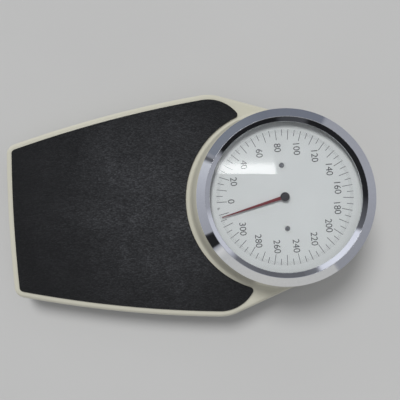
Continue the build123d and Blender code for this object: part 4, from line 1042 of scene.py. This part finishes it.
class SCALE_OT_set_stage(bpy.types.Operator):
    """Build the floor, the lamp, the surroundings and the camera"""

    bl_idname = "scale.set_stage"
    bl_label = "Stage"

    def execute(self, context):
        sizes = context.scene.scale_stage
        self.lay_floor(sizes)
        self.hang_lamp(sizes)
        self.light_world(context.scene, sizes)
        self.place_camera(context.scene, sizes)
        return {"FINISHED"}

    def lay_floor(self, sizes):
        """A broad plain floor of faintly uneven paper."""
        bm = bmesh.new()
        bmesh.ops.create_grid(bm, x_segments=1, y_segments=1, size=FLOOR_REACH)
        floor = piece_from(bm, "floor")
        finish = Finish("floor_paper")
        finish.vary_colour(finish.noise(scale=3, detail=3), sizes.floor, darkest=0.985, lightest=1.015)
        finish.set(Roughness=0.85)
        floor.data.materials.append(finish.material)

    def hang_lamp(self, sizes):
        """One broad soft lamp over the left side of the scale; it isn't mirrored in the glass."""
        lamp = bpy.data.lights.new("soft_lamp", "SUN")
        lamp.angle = sizes.lamp_spread
        lamp.energy = sizes.lamp_strength
        carrier = bpy.data.objects.new("soft_lamp", lamp)
        carrier.location = sizes.lamp_place
        carrier.rotation_euler = (-carrier.location).to_track_quat("-Z", "Y").to_euler()
        carrier.visible_glossy = False
        carrier.visible_transmission = False
        bpy.context.scene.collection.objects.link(carrier)

    def light_world(self, scene, sizes):
        """Even light all round, and a studio for bright metal and glass to mirror."""
        world = bpy.data.worlds.new("studio_air")
        world.use_nodes = True
        air = Surroundings(world)
        seen = air.background((*sizes.floor, 1), sizes.backdrop_level)
        light = air.background((*sizes.air, 1), sizes.air_level)
        walls = air.mix(air.compass(*LOW_WALLS), air.compass(*MIDDLE_WALLS), air.rise(*LOW_TO_MIDDLE))
        mirrored = air.background(air.mix(walls, air.ceiling(), air.rise(*MIDDLE_TO_CEILING)))
        lit = air.choose("Is Glossy Ray", light, mirrored)
        air.finish(air.choose("Is Camera Ray", lit, seen))
        scene.world = world
        scene.view_settings.view_transform = "Standard"

    def place_camera(self, scene, sizes):
        """The camera above the platform, turned a little away from square."""
        camera = bpy.data.cameras.new("camera")
        camera.lens = sizes.lens
        camera.sensor_width = SENSOR_WIDTH
        camera.clip_start = NEAREST_SEEN
        carrier = bpy.data.objects.new("camera", camera)
        turn = Vector(sizes.camera_turn)
        axes = (Matrix.Rotation(turn.length, 3, turn.normalized()) @ SQUARE_ABOVE).transposed()
        carrier.matrix_world = Matrix.Translation(Vector(sizes.camera_place)) @ axes.to_4x4()
        scene.collection.objects.link(carrier)
        scene.camera = carrier


class SCALE_PT_dresser(bpy.types.Panel):
    """Lists the operators and the sizes that they use"""

    bl_label = "Scale Dresser"
    bl_idname = "SCALE_PT_dresser"
    bl_space_type = "VIEW_3D"
    bl_region_type = "UI"
    bl_category = "Scale"

    def draw(self, context):
        layout = self.layout
        for operator in OPERATORS:
            layout.operator(operator.bl_idname)
        scene = context.scene
        for group in (scene.scale_dial, scene.scale_bezel, scene.scale_finish, scene.scale_stage):
            box = layout.box()
            for name in group.__annotations__:
                box.prop(group, name)


OPERATORS = (
    SCALE_OT_finish_cover,
    SCALE_OT_finish_base,
    SCALE_OT_finish_mechanism,
    SCALE_OT_finish_bezel,
    SCALE_OT_finish_pointer,
    SCALE_OT_print_dial,
    SCALE_OT_set_stage,
)
CLASSES = (DialProperties, BezelProperties, FinishProperties, StageProperties, *OPERATORS, SCALE_PT_dresser)


def register():
    """Make the operators, the panel and the property groups known to Blender."""
    for item in CLASSES:
        bpy.utils.register_class(item)
    bpy.types.Scene.scale_dial = bpy.props.PointerProperty(type=DialProperties)
    bpy.types.Scene.scale_bezel = bpy.props.PointerProperty(type=BezelProperties)
    bpy.types.Scene.scale_finish = bpy.props.PointerProperty(type=FinishProperties)
    bpy.types.Scene.scale_stage = bpy.props.PointerProperty(type=StageProperties)


def unregister():
    """Take back what register adds."""
    del bpy.types.Scene.scale_stage
    del bpy.types.Scene.scale_finish
    del bpy.types.Scene.scale_bezel
    del bpy.types.Scene.scale_dial
    for item in reversed(CLASSES):
        bpy.utils.unregister_class(item)


def main():
    """Dress the whole scale."""
    register()
    bpy.ops.scale.finish_cover()
    bpy.ops.scale.finish_base()
    bpy.ops.scale.finish_mechanism()
    bpy.ops.scale.finish_bezel()
    bpy.ops.scale.finish_pointer()
    bpy.ops.scale.print_dial()
    bpy.ops.scale.set_stage()


if __name__ == "__main__":
    main()
